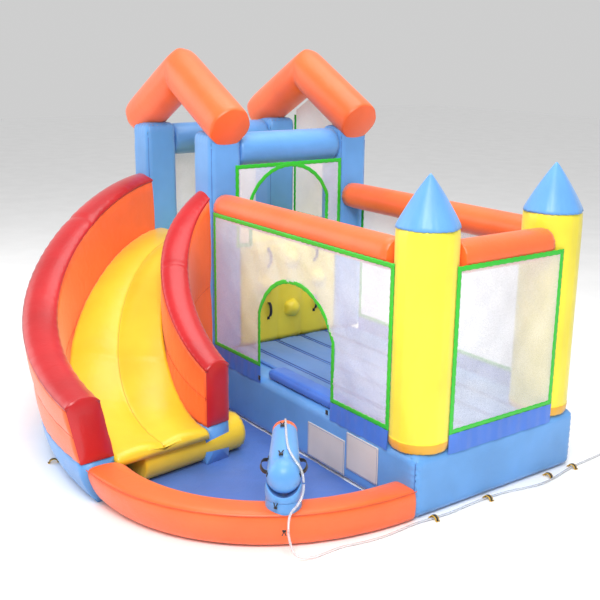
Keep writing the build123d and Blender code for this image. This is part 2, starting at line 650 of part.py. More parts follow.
nut = cylinder_between(nut_start, nut_start + Vector(0, NUT_LENGTH, 0), NUT_RADIUS)
nut -= cylinder_between(nut_start - Vector(0, 1, 0), nut_start + Vector(0, NUT_LENGTH + 1, 0), TAP_BORE)
nodes["tap_nut"] = nut


def knot(middle, along, out, size=16.0):
    """A tied strap: a flat knot with two short tails."""
    plane = Plane(middle, x_dir=along, z_dir=out)
    tie = plane * Box(size, size * 1.6, size * 0.7)
    for side in (-1, 1):
        tie += plane * Rot(0, 0, side * 24) * Pos(size * 1.5, 0, 0) * Box(size * 2.4, size * 0.5, WEB_THICK)
    return tie


barrel_ties = []
for along in (BARREL_LENGTH - 40, 60):
    spot = barrel_point(along, -9, 7.5)
    barrel_ties.append(knot(spot, aim, (spot - pivot - aim * along).normalized()))
nodes["barrel_ties"] = gathered(*[tie - barrel - nodes["barrel_tube"] for tie in barrel_ties])
stand_ties = []
for turn, height, out, along in ((-20, 262, 6.0, Vector(0, 0, 1)), (2, 180, 104.0, Vector(0, 0, -1))):
    spot = stand_point(turn, height, out)
    outward = (spot - Vector(axis_foot.X, axis_foot.Y, height)).normalized()
    stand_ties.append(knot(spot, along, outward, 12.0) - nodes["stand_tube"] - nodes["hose"])
nodes["stand_ties"] = gathered(*stand_ties)


# ---- nets, their green binding and the blue skirts -------------------------------------------------
def arch(left, right, low, high, grow=0.0):
    """A doorway: upright sides under a flattened arch."""
    left, right, high = left - grow, right + grow, high + grow
    shoulder = high - (right - left) * DOOR_ARCH
    sides = Polyline((left, shoulder), (left, low), (right, low), (right, shoulder))
    top = ThreePointArc((right, shoulder), ((left + right) / 2, high), (left, shoulder))
    return make_face(sides + top)


def frame(left, right, low, high, grow=0.0):
    return Pos((left + right) / 2, (low + high) / 2) * Rectangle(right - left + 2 * grow, high - low + 2 * grow)


def upright_x(y):
    """A plane that faces the front, with its X along the front and its Y up."""
    return Plane((0, y, 0), x_dir=(1, 0, 0), z_dir=(0, -1, 0))


def upright_y(x):
    """A plane that faces the right side, with its X towards the back and its Y up."""
    return Plane((x, 0, 0), x_dir=(0, 1, 0), z_dir=(1, 0, 0))


def sheet(plane, outline, thick):
    return extrude(plane * outline, thick / 2, both=True)


net_left, net_right = NET_LEFT, -COLUMN_INSET - NET_CLEAR
side_low, side_high = COLUMN_INSET + NET_CLEAR, BASE_DEPTH - COLUMN_INSET - NET_CLEAR
whole_front = frame(net_left, net_right, NET_LOW, NET_HIGH)
inner_front = frame(net_left, net_right, NET_LOW, NET_HIGH, -BINDING_WIDTH)
door = arch(DOOR_LEFT, DOOR_RIGHT, NET_LOW - 1, DOOR_TOP)
door_edge = arch(DOOR_LEFT, DOOR_RIGHT, NET_LOW - 1, DOOR_TOP, BINDING_WIDTH)
whole_side = frame(side_low, side_high, NET_LOW, NET_HIGH)
inner_side = frame(side_low, side_high, NET_LOW, NET_HIGH, -BINDING_WIDTH)
front_plane = upright_x(-NET_PROUD - BINDING_THICK / 2 - GAP)
back_plane = upright_x(BASE_DEPTH + NET_PROUD + BINDING_THICK / 2 + GAP)
side_plane = upright_y(NET_PROUD + BINDING_THICK / 2 + GAP)
nodes["front_net"] = sheet(front_plane, inner_front - door_edge, NET_THICK)
nodes["side_net"] = sheet(side_plane, inner_side, NET_THICK)
nodes["back_net"] = sheet(back_plane, inner_front, NET_THICK)

tower_net_plane = upright_y(post_side + BINDING_THICK / 2 + GAP)
tower_door = arch(TOWER_DOOR_LEFT, TOWER_DOOR_RIGHT, TOWER_NET_LOW - 1, TOWER_DOOR_TOP)
tower_door_edge = arch(TOWER_DOOR_LEFT, TOWER_DOOR_RIGHT, TOWER_NET_LOW - 1, TOWER_DOOR_TOP, BINDING_WIDTH)
tower_whole = frame(TOWER_NET_FRONT, TOWER_NET_BACK, TOWER_NET_LOW, TOWER_NET_HIGH)
tower_inner = frame(TOWER_NET_FRONT, TOWER_NET_BACK, TOWER_NET_LOW, TOWER_NET_HIGH, -BINDING_WIDTH)
nodes["tower_door_net"] = sheet(tower_net_plane, tower_inner - tower_door_edge, NET_THICK)
left_plane = upright_y(outside_left - NET_THICK / 2 - GAP)
left_net = frame(bay_front - 60, bay_back + 60, PLATFORM_Z + GAP, HEADER_Z)
nodes["tower_left_net"] = sheet(left_plane, left_net, NET_THICK)


def pentagon(inset):
    """The back window of the tower, under the gable."""
    left, right = bay_left - 20 + inset, bay_right + 20 - inset
    low, peak = PLATFORM_Z + GAP + inset, GABLE_APEX_Z - GABLE_RADIUS + 55 - inset
    slope = GABLE_DROP / GABLE_HALF_SPAN
    shoulder = peak - (right - left) / 2 * slope
    middle = (left + right) / 2
    return make_face(Polyline((left, low), (right, low), (right, shoulder), (middle, peak), (left, shoulder), close=True))


rear_plane = upright_x(tower_rear + BINDING_THICK / 2 + GAP)
gable_room = gable(tower_back, GABLE_RADIUS + GAP)
nodes["tower_back_net"] = sheet(rear_plane, pentagon(BINDING_WIDTH), NET_THICK) - gable_room
bindings = [
    sheet(front_plane, whole_front - inner_front - door, BINDING_THICK),
    sheet(front_plane, door_edge - door - (whole_front - inner_front), BINDING_THICK),
    sheet(side_plane, whole_side - inner_side, BINDING_THICK),
    sheet(back_plane, whole_front - inner_front, BINDING_THICK),
    sheet(tower_net_plane, tower_whole - tower_inner - tower_door, BINDING_THICK),
    sheet(tower_net_plane, tower_door_edge - tower_door - (tower_whole - tower_inner), BINDING_THICK),
    sheet(rear_plane, pentagon(0) - pentagon(BINDING_WIDTH), BINDING_THICK) - gable_room,
]
nodes["net_bindings"] = gathered(*bindings)

# skirts hang from the nets' lower binding over the base's top edge
front_skirt = upright_x(-BASE_BULGE - GAP - SKIRT_THICK / 2)
back_skirt = upright_x(BASE_DEPTH + BASE_BULGE + GAP + SKIRT_THICK / 2)
side_skirt = upright_y(BASE_BULGE + GAP + SKIRT_THICK / 2)
skirts = [
    sheet(front_skirt, frame(net_left, DOOR_LEFT, SKIRT_LOW, NET_LOW - 1 - GAP), SKIRT_THICK),
    sheet(front_skirt, frame(DOOR_RIGHT, net_right, SKIRT_LOW, NET_LOW - 1 - GAP), SKIRT_THICK),
    sheet(back_skirt, frame(net_left, net_right, SKIRT_LOW, NET_LOW - 1 - GAP), SKIRT_THICK),
    sheet(side_skirt, frame(side_low, side_high, SKIRT_LOW, NET_LOW - 1 - GAP), SKIRT_THICK),
]
nodes["base_skirts"] = Compound(children=skirts)

# ---- patches, webbing and the deflation zip ------------------------------------------------------
patch_plane = upright_x(-BASE_BULGE - PATCH_THICK / 2 - GAP)
patches = []
for x, z, width, height in (WARNING_PATCH, MAKER_PATCH):
    patches.append(sheet(patch_plane, Pos(x, z) * RectangleRounded(width, height, 12), PATCH_THICK))
nodes["base_patches"] = Compound(children=patches)

loops = []
anchors = [Pos(ANCHOR_X, y, 0) for y in ANCHOR_YS]
wall_loop = outer_curve.beside(WALL_ANCHOR, -OUTER_WIDTH / 2 + WALL_LEAN + FOOT_TAPER - 50.0)
turned = outer_curve.heading(WALL_ANCHOR).rotate(Axis.Z, 90).get_signed_angle(Vector(1, 0, 0), Vector(0, 0, -1))
anchors.append(Pos(wall_loop.X, wall_loop.Y, 0) * Rot(0, 0, turned))
for anchor in anchors:
    loops.append(anchor * web_loop(54, 28, WEB_WIDTH * 1.2, foot=12.0))
for x in (DOOR_LEFT - 12, DOOR_RIGHT - 38):
    tab_face = front_skirt.offset(SKIRT_THICK / 2 + GAP + WEB_THICK / 2)
    loops.append(tab_face * Pos(x, BASE_HEIGHT + 12, 0) * Box(WEB_WIDTH, 34, WEB_THICK))
nodes["anchor_loops"] = Compound(children=loops)

sleeve_start = Vector(-TOWER_X, tower_rear + GAP, SLEEVE_RADIUS + 6)
sleeve = cylinder_between(sleeve_start, sleeve_start + Vector(0, SLEEVE_LENGTH, 0), SLEEVE_RADIUS)
sleeve -= cylinder_between(
    sleeve_start + Vector(0, 6, 0), sleeve_start + Vector(0, SLEEVE_LENGTH + 1, 0), SLEEVE_RADIUS - SLEEVE_WALL
)
nodes["air_inlet_sleeve"] = sleeve

zip_face = BASE_DEPTH + BASE_BULGE + GAP
tape_thick = 2.0
nodes["zip_tape"] = box((ZIP_X, zip_face, ZIP_Z), (ZIP_X + ZIP_LENGTH, zip_face + tape_thick, ZIP_Z + 30.0))
wide, deep, tall = ZIP_SLIDER
slider_y = zip_face + tape_thick + GAP
slider = box((ZIP_X + 6, slider_y, ZIP_Z + 3), (ZIP_X + 6 + wide, slider_y + deep, ZIP_Z + 3 + tall))
slider += box((ZIP_X + 9, slider_y, ZIP_Z - 22), (ZIP_X + 9 + wide - 6, slider_y + 2.5, ZIP_Z + 4))
nodes["zip_slider"] = slider

# ---- the origin moves to the middle of the footprint, on the ground -----------------------------
cord_nodes = ("hose", "hose_coil", "hose_connector", "tap_nut")
bounds = Compound(children=[shape for name, shape in nodes.items() if name not in cord_nodes]).bounding_box()
middle = bounds.center()
print("corner of the jump base lies at", round(-middle.X, 3), round(-middle.Y, 3), "lowest", round(bounds.min.Z, 3))

for name, shape in nodes.items():
    moved = Pos(-middle.X, -middle.Y, -bounds.min.Z) * gathered(shape)
    export_step(moved, f"parts/{name}.step")
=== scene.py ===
import bmesh
import bpy
import math
from mathutils import Matrix, Vector


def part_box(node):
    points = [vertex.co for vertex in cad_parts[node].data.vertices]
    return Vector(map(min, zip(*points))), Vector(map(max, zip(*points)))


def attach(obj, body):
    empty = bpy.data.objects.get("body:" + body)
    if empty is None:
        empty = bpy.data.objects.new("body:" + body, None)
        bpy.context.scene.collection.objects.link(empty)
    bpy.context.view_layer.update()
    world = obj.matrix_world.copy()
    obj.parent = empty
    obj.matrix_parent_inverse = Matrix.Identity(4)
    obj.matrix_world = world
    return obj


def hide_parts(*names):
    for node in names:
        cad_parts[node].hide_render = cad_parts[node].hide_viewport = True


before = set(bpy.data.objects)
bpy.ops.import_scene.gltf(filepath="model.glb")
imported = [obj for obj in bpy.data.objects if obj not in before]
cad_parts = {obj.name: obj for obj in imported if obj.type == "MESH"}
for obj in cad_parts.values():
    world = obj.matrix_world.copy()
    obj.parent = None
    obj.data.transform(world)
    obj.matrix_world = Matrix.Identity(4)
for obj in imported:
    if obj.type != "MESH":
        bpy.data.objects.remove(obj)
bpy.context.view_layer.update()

# the jump base's front right bottom corner is the layout's zero
base_low, base_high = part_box("jump_base")
CORNER = Vector((base_high[0] - 0.02, base_low[1] + 0.02, 0))


def at(x, y, z=0.0):
    return CORNER + Vector((x, y, z))


def linear(code):
    """A linear colour from an sRGB hex code."""
    parts = [int(code[i:i + 2], 16) / 255 for i in (0, 2, 4)]
    return [c / 12.92 if c <= 0.04045 else ((c + 0.055) / 1.055) ** 2.4 for c in parts]


# ---- camera and light -------------------------------------------------------------------------
scene = bpy.context.scene
scene.render.resolution_x = scene.render.resolution_y = 1200
scene.view_settings.view_transform = "Standard"
YAW, PITCH, ROLL = math.radians(54.36), math.radians(15.08), math.radians(0.62)
forward = Vector((-math.sin(YAW) * math.cos(PITCH), math.cos(YAW) * math.cos(PITCH), -math.sin(PITCH)))
right = Vector((math.cos(YAW), math.sin(YAW), 0))
upward = right.cross(forward)
cam_x = right * math.cos(ROLL) + upward * math.sin(ROLL)
cam_y = upward * math.cos(ROLL) - right * math.sin(ROLL)
turn = Matrix((cam_x, cam_y, -forward)).transposed().to_4x4()
camera_data = bpy.data.cameras.new("camera")
camera_data.lens, camera_data.sensor_width = 56.15, 36.0
camera = bpy.data.objects.new("camera", camera_data)
camera.matrix_world = Matrix.Translation(at(3.709, -3.513, 2.716)) @ turn
scene.collection.objects.link(camera)
scene.camera = camera


def area_light(name, place, target, size, power, colour=(1, 1, 1)):
    data = bpy.data.lights.new(name, "AREA")
    data.size, data.energy, data.color = size, power, colour
    lamp = bpy.data.objects.new(name, data)
    aim = (Vector(target) - Vector(place)).to_track_quat("-Z", "Y").to_matrix().to_4x4()
    lamp.matrix_world = Matrix.Translation(place) @ aim
    scene.collection.objects.link(lamp)


area_light("key", (4.5, -3.0, 6.0), (0, 0, 0.8), 3.0, 380)
area_light("fill", (-5.0, -5.0, 3.5), (0, 0, 0.8), 5.0, 170)
area_light("top", (0, 1.0, 7.0), (0, 0, 0), 5.0, 260)
world = bpy.data.worlds.new("studio")
world.use_nodes = True
world.node_tree.nodes["Background"].inputs["Color"].default_value = (1, 1, 1, 1)
world.node_tree.nodes["Background"].inputs["Strength"].default_value = 0.62
scene.world = world


# ---- materials -----------------------------------------------------------------------------------
def material(
    name, code, rough=0.38, weave=520.0, pucker=0.16, alpha=1.0, dark=0.86, metal=0.0, glass=0.0, mesh=0.0
):
    """Coated cloth: a fine weave, broad shade changes and shallow puckers, all from object coordinates."""
    mat = bpy.data.materials.new(name)
    mat.use_nodes = True
    tree = mat.node_tree
    nodes, links = tree.nodes, tree.links
    shader = nodes["Principled BSDF"]
    colour = linear(code)
    where = nodes.new("ShaderNodeTexCoord")
    broad = nodes.new("ShaderNodeTexNoise")
    broad.inputs["Scale"].default_value = 2.2
    broad.inputs["Detail"].default_value = 3.0
    ramp = nodes.new("ShaderNodeValToRGB")
    ramp.color_ramp.elements[0].position, ramp.color_ramp.elements[1].position = 0.32, 0.68
    ramp.color_ramp.elements[0].color = [c * dark for c in colour] + [1]
    ramp.color_ramp.elements[1].color = [min(c * 1.07 + 0.004, 1) for c in colour] + [1]
    links.new(where.outputs["Object"], broad.inputs["Vector"])
    links.new(broad.outputs["Fac"], ramp.inputs["Fac"])
    links.new(ramp.outputs["Color"], shader.inputs["Base Color"])
    folds = nodes.new("ShaderNodeTexNoise")
    folds.inputs["Scale"].default_value = 9.0
    folds.inputs["Detail"].default_value = 4.0
    folds.inputs["Distortion"].default_value = 0.6
    links.new(where.outputs["Object"], folds.inputs["Vector"])
    threads = nodes.new("ShaderNodeTexWave")
    threads.inputs["Scale"].default_value = weave
    threads.bands_direction = "DIAGONAL"
    links.new(where.outputs["Object"], threads.inputs["Vector"])
    coarse, fine = nodes.new("ShaderNodeBump"), nodes.new("ShaderNodeBump")
    coarse.inputs["Strength"].default_value = pucker
    coarse.inputs["Distance"].default_value = 0.02
    fine.inputs["Strength"].default_value = 0.08
    fine.inputs["Distance"].default_value = 0.001
    links.new(folds.outputs["Fac"], coarse.inputs["Height"])
    links.new(threads.outputs["Fac"], fine.inputs["Height"])
    links.new(coarse.outputs["Normal"], fine.inputs["Normal"])
    links.new(fine.outputs["Normal"], shader.inputs["Normal"])
    shader.inputs["Roughness"].default_value = rough
    shader.inputs["Metallic"].default_value = metal
    shader.inputs["Sheen Weight"].default_value = 0.0 if metal or glass else 0.15
    shader.inputs["Transmission Weight"].default_value = glass
    shader.inputs["Alpha"].default_value = alpha
    if mesh:
        # open knitted mesh: fine threads both ways, the gaps let light through
        cells = nodes.new("ShaderNodeTexVoronoi")
        cells.inputs["Scale"].default_value = mesh
        links.new(where.outputs["Object"], cells.inputs["Vector"])
        opening = nodes.new("ShaderNodeMapRange")
        opening.inputs["From Max"].default_value = 0.55
        opening.inputs["To Min"].default_value = alpha - 0.2
        opening.inputs["To Max"].default_value = alpha + 0.25
        links.new(cells.outputs["Distance"], opening.inputs["Value"])
        links.new(opening.outputs["Result"], shader.inputs["Alpha"])
    return mat


ORANGE = material("orange_nylon", "F9682A", dark=0.88)
RED = material("red_nylon", "C00D16", rough=0.30, dark=0.80)
LIGHT_BLUE = material("light_blue_nylon", "5E9EE0")
ROYAL = material("royal_blue_nylon", "3D76D8")
POOL_BLUE = material("pool_blue_nylon", "4870BC", pucker=0.30)
FLOOR_BLUE = material("floor_blue_nylon", "5A8CD4", pucker=0.2)
YELLOW = material("yellow_nylon", "F4E23A")
SLIDE_YELLOW = material("slide_yellow_nylon", "EAC628", rough=0.30, pucker=0.10)
GOLD = material("gold_hem", "E4A828")
GREEN = material("green_binding", "1FBE24", rough=0.22, weave=900.0)
BLACK = material("black_webbing", "0B0B0D", rough=0.6, weave=700.0)
WEB_YELLOW = material("yellow_webbing", "D9A92B", rough=0.6, weave=700.0)
NET = material("white_net", "F4F4FA", rough=0.7, alpha=0.36, mesh=330.0, pucker=0.4)
PALE = material("bare_patch", "CFCFCA", rough=0.5, pucker=0.08)
CLEAR = material("clear_pvc", "F2F4F8", rough=0.10, glass=0.6, pucker=0.02, weave=40.0)
BRASS = material("brass", "CBA052", rough=0.25, metal=1.0, pucker=0.02)
PLASTIC = material("black_plastic", "111114", rough=0.3, pucker=0.03)
SEAM_ORANGE = material("orange_seam", "D9501C", rough=0.5)
SEAM_BLUE = material("blue_seam", "3F74BE", rough=0.5)
SEAM_DEEP = material("deep_blue_seam", "22479C", rough=0.5)
SEAM_YELLOW = material("yellow_seam", "CFA41F", rough=0.5)
SEAM_RED = material("red_seam", "8E0810", rough=0.5)
FLOOR = material("studio_floor", "FBFBFB", rough=0.8, pucker=0.0, dark=0.99)


# ---- mesh helpers --------------------------------------------------------------------------------
def make(name, bm, mats, nodes=(), body="house"):
    """Turns mesh data into a smooth piece that rides on a body and stands for its CAD nodes."""
    bmesh.ops.remove_doubles(bm, verts=bm.verts, dist=0.00002)
    bmesh.ops.recalc_face_normals(bm, faces=bm.faces)
    for face in bm.faces:
        face.smooth = True
    mesh = bpy.data.meshes.new(name)
    bm.to_mesh(mesh)
    bm.free()
    piece = bpy.data.objects.new(name, mesh)
    scene.collection.objects.link(piece)
    for mat in mats if isinstance(mats, (list, tuple)) else [mats]:
        mesh.materials.append(mat)
    if nodes:
        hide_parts(*nodes)
    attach(piece, body)
    return piece


def rings(bm, sections, cap=True, closed=True, paint=None):
    """Skins a list of rings of points. paint(i, j) gives a face its material."""
    rows = [[bm.verts.new(p) for p in ring] for ring in sections]
    count = len(rows[0])
    for i in range(len(rows) - 1):
        for j in range(count if closed else count - 1):
            k = (j + 1) % count
            face = bm.faces.new((rows[i][j], rows[i][k], rows[i + 1][k], rows[i + 1][j]))
            if paint:
                face.material_index = paint(i, j)
    if cap:
        for i, row in ((0, rows[0]), (len(rows) - 1, rows[-1])):
            middle = bm.verts.new(sum((v.co for v in row), Vector()) / count)
            for j in range(count):
                face = bm.faces.new((row[j], row[(j + 1) % count], middle))
                if paint:
                    face.material_index = paint(min(i, len(rows) - 2), j)
    return rows


def pucker(distance, phase, reach=0.05, height=0.006):
    """Small gathers that fade away from a seam."""
    ripple = math.sin(phase) * 0.6 + math.sin(phase * 2.3 + 1.1) * 0.4
    return height * ripple * math.exp(-max(distance, 0) / reach)


def basis(direction):
    direction = direction.normalized()
    side = direction.cross(Vector((0, 0, 1)))
    side = Vector((1, 0, 0)) if side.length < 0.01 else side.normalized()
    return side, side.cross(direction).normalized()


def tube_rings(path, radius, steps=40, dome=0.35, gathers=26):
    """Rings of a blown tube: sewn flat ends that bulge, with gathers round each end seam."""
    path = [Vector(p) for p in path]
    total = (path[-1] - path[0]).length
    side, up = basis(path[-1] - path[0])
    direction = (path[-1] - path[0]).normalized()
    out = []
    stations = [("start", s) for s in (0.03, 0.3, 0.6, 0.85, 0.97)]
    stations += [("along", i / 30) for i in range(31)]
    stations += [("end", s) for s in (0.97, 0.85, 0.6, 0.3, 0.03)]
    for kind, s in stations:
        ring = []
        for j in range(steps):
            angle = 2 * math.pi * j / steps
            if kind == "along":
                away = min(s, 1 - s) * total
                r = radius * (1 - 0.05 * math.exp(-away / 0.03))
                r += pucker(away, angle * gathers, 0.045, radius * 0.028)
                middle = path[0].lerp(path[-1], s)
            else:
                r = radius * 0.95 * s
                bulge = dome * radius * 0.35 * (1 - s * s)
                middle = path[0] - direction * bulge if kind == "start" else path[-1] + direction * bulge
                r += pucker(radius - r, angle * gathers, 0.03, radius * 0.02) * s
            ring.append(middle + side * math.cos(angle) * r + up * math.sin(angle) * r)
        out.append(ring)
    return out


def blown_tube(name, a, b, radius, mats, nodes, body="house", **more):
    bm = bmesh.new()
    rings(bm, tube_rings([a, b], radius, **more))
    return make(name, bm, mats, nodes, body)


def blown_box(
    bm, low, high, bulge=0.015, corner=0.05, cuts=26, flat=(), channels=None, index=0, gather=0.004
):
    """A blown block: crowned faces between puckered edge seams. flat names faces that stay flat."""
    low, high = Vector(low), Vector(high)
    middle, half = (low + high) / 2, (high - low) / 2
    for axis in range(3):
        for sign in (-1, 1):
            u, v = (axis + 1) % 3, (axis + 2) % 3
            grid = []
            for i in range(cuts + 1):
                row = []
                for j in range(cuts + 1):
                    a = math.sin((i / cuts - 0.5) * math.pi) * 0.35 + (i / cuts * 2 - 1) * 0.65
                    b = math.sin((j / cuts - 0.5) * math.pi) * 0.35 + (j / cuts * 2 - 1) * 0.65
                    point = Vector((0, 0, 0))
                    point[axis], point[u], point[v] = sign * half[axis], a * half[u], b * half[v]
                    inner = Vector([max(half[k] - corner, 0.001) for k in range(3)])
                    core = Vector([max(-inner[k], min(inner[k], point[k])) for k in range(3)])
                    off = point - core
                    if off.length > corner:
                        point = core + off.normalized() * corner
                    rise = bulge * (1 - a * a) * (1 - b * b) if (axis, sign) not in flat else 0.0
                    edge_u, edge_v = (1 - abs(a)) * half[u], (1 - abs(b)) * half[v]
                    gathers = pucker(edge_v, a * half[u] * 150, 0.03, gather)
                    rise += gathers + pucker(edge_u, b * half[v] * 150, 0.03, gather)
                    if channels and (axis, sign) == channels[0]:
                        place = point[channels[1]] / channels[2]
                        rise += channels[3] * (abs(math.cos(math.pi * place)) ** 0.5 - 1)
                    if (axis, sign) in flat:
                        rise = min(rise, 0.0)
                    point[axis] += sign * rise
                    row.append(bm.verts.new(middle + point))
                grid.append(row)
            for i in range(cuts):
                for j in range(cuts):
                    face = bm.faces.new((grid[i][j], grid[i + 1][j], grid[i + 1][j + 1], grid[i][j + 1]))
                    face.material_index = index


def piping(bm, points, thick=0.0032, index=1, sides=6):
    """A thin raised seam along some points."""
    points = [Vector(p) for p in points]
    sections = []
    for i, point in enumerate(points):
        along = points[min(i + 1, len(points) - 1)] - points[max(i - 1, 0)]
        side, up = basis(along)
        turns = [2 * math.pi * k / sides for k in range(sides)]
        sections.append([point + side * math.cos(a) * thick + up * math.sin(a) * thick for a in turns])
    rings(bm, sections, paint=lambda i, j: index)


def straight(a, b, count=24):
    a, b = Vector(a), Vector(b)
    return [a.lerp(b, i / count) for i in range(count + 1)]


def cubic(values, t):
    a, b, c, d = values
    s = 1 - t
    return a * s ** 3 + b * (3 * s * s * t) + c * (3 * s * t * t) + d * t ** 3


class Curve:
    """A plan curve from a start point and heading to an end point and heading."""

    def __init__(self, start, heading, reach, end, end_heading, end_reach):
        out = Vector((math.cos(math.radians(heading)), math.sin(math.radians(heading)), 0))
        into = Vector((math.cos(math.radians(end_heading)), math.sin(math.radians(end_heading)), 0))
        start, end = at(*start), at(*end)
        self.handles = (start, start + out * reach, end - into * end_reach, end)

    def heading(self, t):
        p0, p1, p2, p3 = self.handles
        t = min(max(t, 0), 1)
        return ((p1 - p0) * (1 - t) ** 2 + (p2 - p1) * 2 * (1 - t) * t + (p3 - p2) * t * t).normalized()

    def point(self, t, left=0.0, z=0.0):
        inside = min(max(t, 0), 1)
        way = self.heading(inside)
        place = cubic(self.handles, inside) + way * (t - inside)
        return place + Vector((-way.y, way.x, 0)) * left + Vector((0, 0, z))


OUTER = Curve((-3.464, 0), -60, 0.940, (-1.258, -1.533), 4, 1.386)
INNER = Curve((-2.440, 0), -87, 0.437, (-1.351, -0.554), 9.5, 0.476)
RING = Curve((-0.116, 0), -90, 0.863, (-1.304, -1.290), 175, 0.640)
OUTER_W, INNER_W, RING_W = 0.225, 0.190, 0.270
OUTER_TOP, INNER_TOP = (1.632, 1.597, 0.845, 0.652), (1.628, 1.325, 0.893, 0.670)
BED_TOP = (1.237, 1.260, 0.300, 0.285)
FOOT_H, LEAN = 0.28, 0.08

# ---- the water cannon's axes, and the hose -------------------------------------------------------
axis_foot = RING.point(0.345, 0.060)
HEADING, LIFT = math.radians(144.5), math.radians(15)
level_aim = Vector((math.cos(HEADING), math.sin(HEADING), 0))
sideways = Vector((-math.sin(HEADING), math.cos(HEADING), 0))
aim = level_aim * math.cos(LIFT) + Vector((0, 0, math.sin(LIFT)))
over = aim.cross(sideways)
pivot = Vector((axis_foot.x, axis_foot.y, 0.402))
BARREL_L, BARREL_R, BARREL_R2 = 0.385, 0.098, 0.074


def barrel_point(along, degrees, out):
    share = min(max(along / BARREL_L, 0), 1)
    radius = BARREL_R + (BARREL_R2 - BARREL_R) * share + out
    angle = math.radians(degrees)
    return pivot + aim * along + (over * math.cos(angle) - sideways * math.sin(angle)) * radius


def stand_point(degrees, height, out=0.0):
    angle = math.radians(degrees)
    direction = -level_aim * math.cos(angle) - sideways * math.sin(angle)
    return Vector((axis_foot.x, axis_foot.y, height)) + direction * (0.113 + out)


def hose_curve(name, route, radius=0.007):
    data = bpy.data.curves.new(name, "CURVE")
    data.dimensions = "3D"
    data.bevel_depth, data.bevel_resolution, data.resolution_u = radius, 4, 8
    data.use_fill_caps = True
    spline = data.splines.new("NURBS")
    spline.points.add(len(route) - 1)
    for point, place in zip(spline.points, route):
        point.co = (*place, 1)
    spline.order_u = 3
    spline.use_endpoint_u = True
    data.materials.append(CLEAR)
    piece = bpy.data.objects.new(name, data)
    scene.collection.objects.link(piece)
    return piece


lead_route = [
    barrel_point(-0.038, 96, 0.015) - Vector((0, 0, 0.012)), stand_point(66, 0.322, 0.012),
    stand_point(40, 0.268, 0.012), stand_point(20, 0.250, 0.026), stand_point(10, 0.226, 0.060),
    stand_point(8, 0.168, 0.102),
]
GROUND = 0.0075
ground_route = [
    (0.012, -0.560), (0.046, -0.430), (0.064, -0.300), (0.058, -0.160), (0.050, -0.020), (0.064, 0.110),
    (0.072, 0.250), (0.060, 0.400), (0.058, 0.565), (0.070, 0.730), (0.104, 0.870), (0.124, 1.000),
    (0.112, 1.130), (0.084, 1.260), (0.066, 1.375), (0.058, 1.510), (0.050, 1.650), (0.038, 1.800),
    (0.028, 1.900), (0.024, 1.988),
]
lead_way = (lead_route[-1] - lead_route[-2]).normalized()
hose_route = [lead_route[-1] + lead_way * 0.001]
hose_route += [stand_point(10, 0.092, 0.132), stand_point(18, 0.034, 0.150), stand_point(40, GROUND, 0.152)]
hose_route += [at(x, y, GROUND) for x, y in ground_route]
COIL = at(0.100, 2.060)
TURNS, PER_TURN = 4.2, 14
for k in range(1, int(TURNS * PER_TURN) + 1):
    angle = math.pi - 2 * math.pi * k / PER_TURN
    layer = k / PER_TURN
    size = 0.083 - 0.0150 * min(layer, 1.0) if layer < 2 else 0.068 + 0.0150 * min(layer - 2, 1.0)
    height = GROUND if layer < 1.6 else min(GROUND + 0.0145, GROUND + (layer - 1.6) * 0.036)
    hose_route.append(COIL + Vector((math.cos(angle) * size, math.sin(angle) * size, height)))
hose = hose_curve("clear_hose", hose_route)
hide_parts("hose", "hose_coil")
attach(hose, "house")
lead = hose_curve("hose_on_stand", lead_route)
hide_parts("stand_tube")
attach(lead, "house")
barrel_route = [
    barrel_point(BARREL_L + 0.022, 2, 0.009), barrel_point(0.250, 6, 0.012), barrel_point(0.120, 12, 0.013),
    barrel_point(0.030, 30, 0.017), barrel_point(-0.022, 62, 0.023), barrel_point(-0.038, 96, 0.015),
]
barrel_hose = hose_curve("hose_on_barrel", barrel_route)
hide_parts("barrel_tube")
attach(barrel_hose, "cannon_barrel")

# ---- bases, floor and sill -----------------------------------------------------------------------
for name, mat in (("jump_base", LIGHT_BLUE), ("tower_base", LIGHT_BLUE)):
    low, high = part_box(name)
    bm = bmesh.new()
    blown_box(bm, low, high, bulge=0.005, corner=0.055, cuts=60, flat=((2, -1), (2, 1)), gather=0.004)
    for x in (low[0] + 0.02, high[0] - 0.02):
        piping(bm, straight((x, low[1] + 0.013, 0.05), (x, low[1] + 0.013, 0.36)))
    make(name + "_blown", bm, [mat, SEAM_BLUE], [name])

low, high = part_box("bounce_floor")
bm = bmesh.new()
blown_box(
    bm, low, high, bulge=0.004, corner=0.012, cuts=90, flat=((2, -1),),
    channels=((2, 1), 1, 0.25, 0.016), gather=0.002,
)
for offset in (-0.375, -0.125, 0.125, 0.375):
    for gap in (-0.014, 0.014):
        y = (low[1] + high[1]) / 2 + offset + gap
        seam_z = high[2] - 0.007
        piping(bm, straight((low[0] + 0.02, y, seam_z), (high[0] - 0.02, y, seam_z), 40), 0.0035)
make("quilted_floor", bm, [FLOOR_BLUE, SEAM_DEEP], ["bounce_floor"])
low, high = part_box("entrance_sill")
bm = bmesh.new()
blown_box(bm, low, high, bulge=0.006, corner=0.034, cuts=30, flat=((2, -1),), gather=0.003)
make("sill_roll", bm, [ROYAL], ["entrance_sill"])

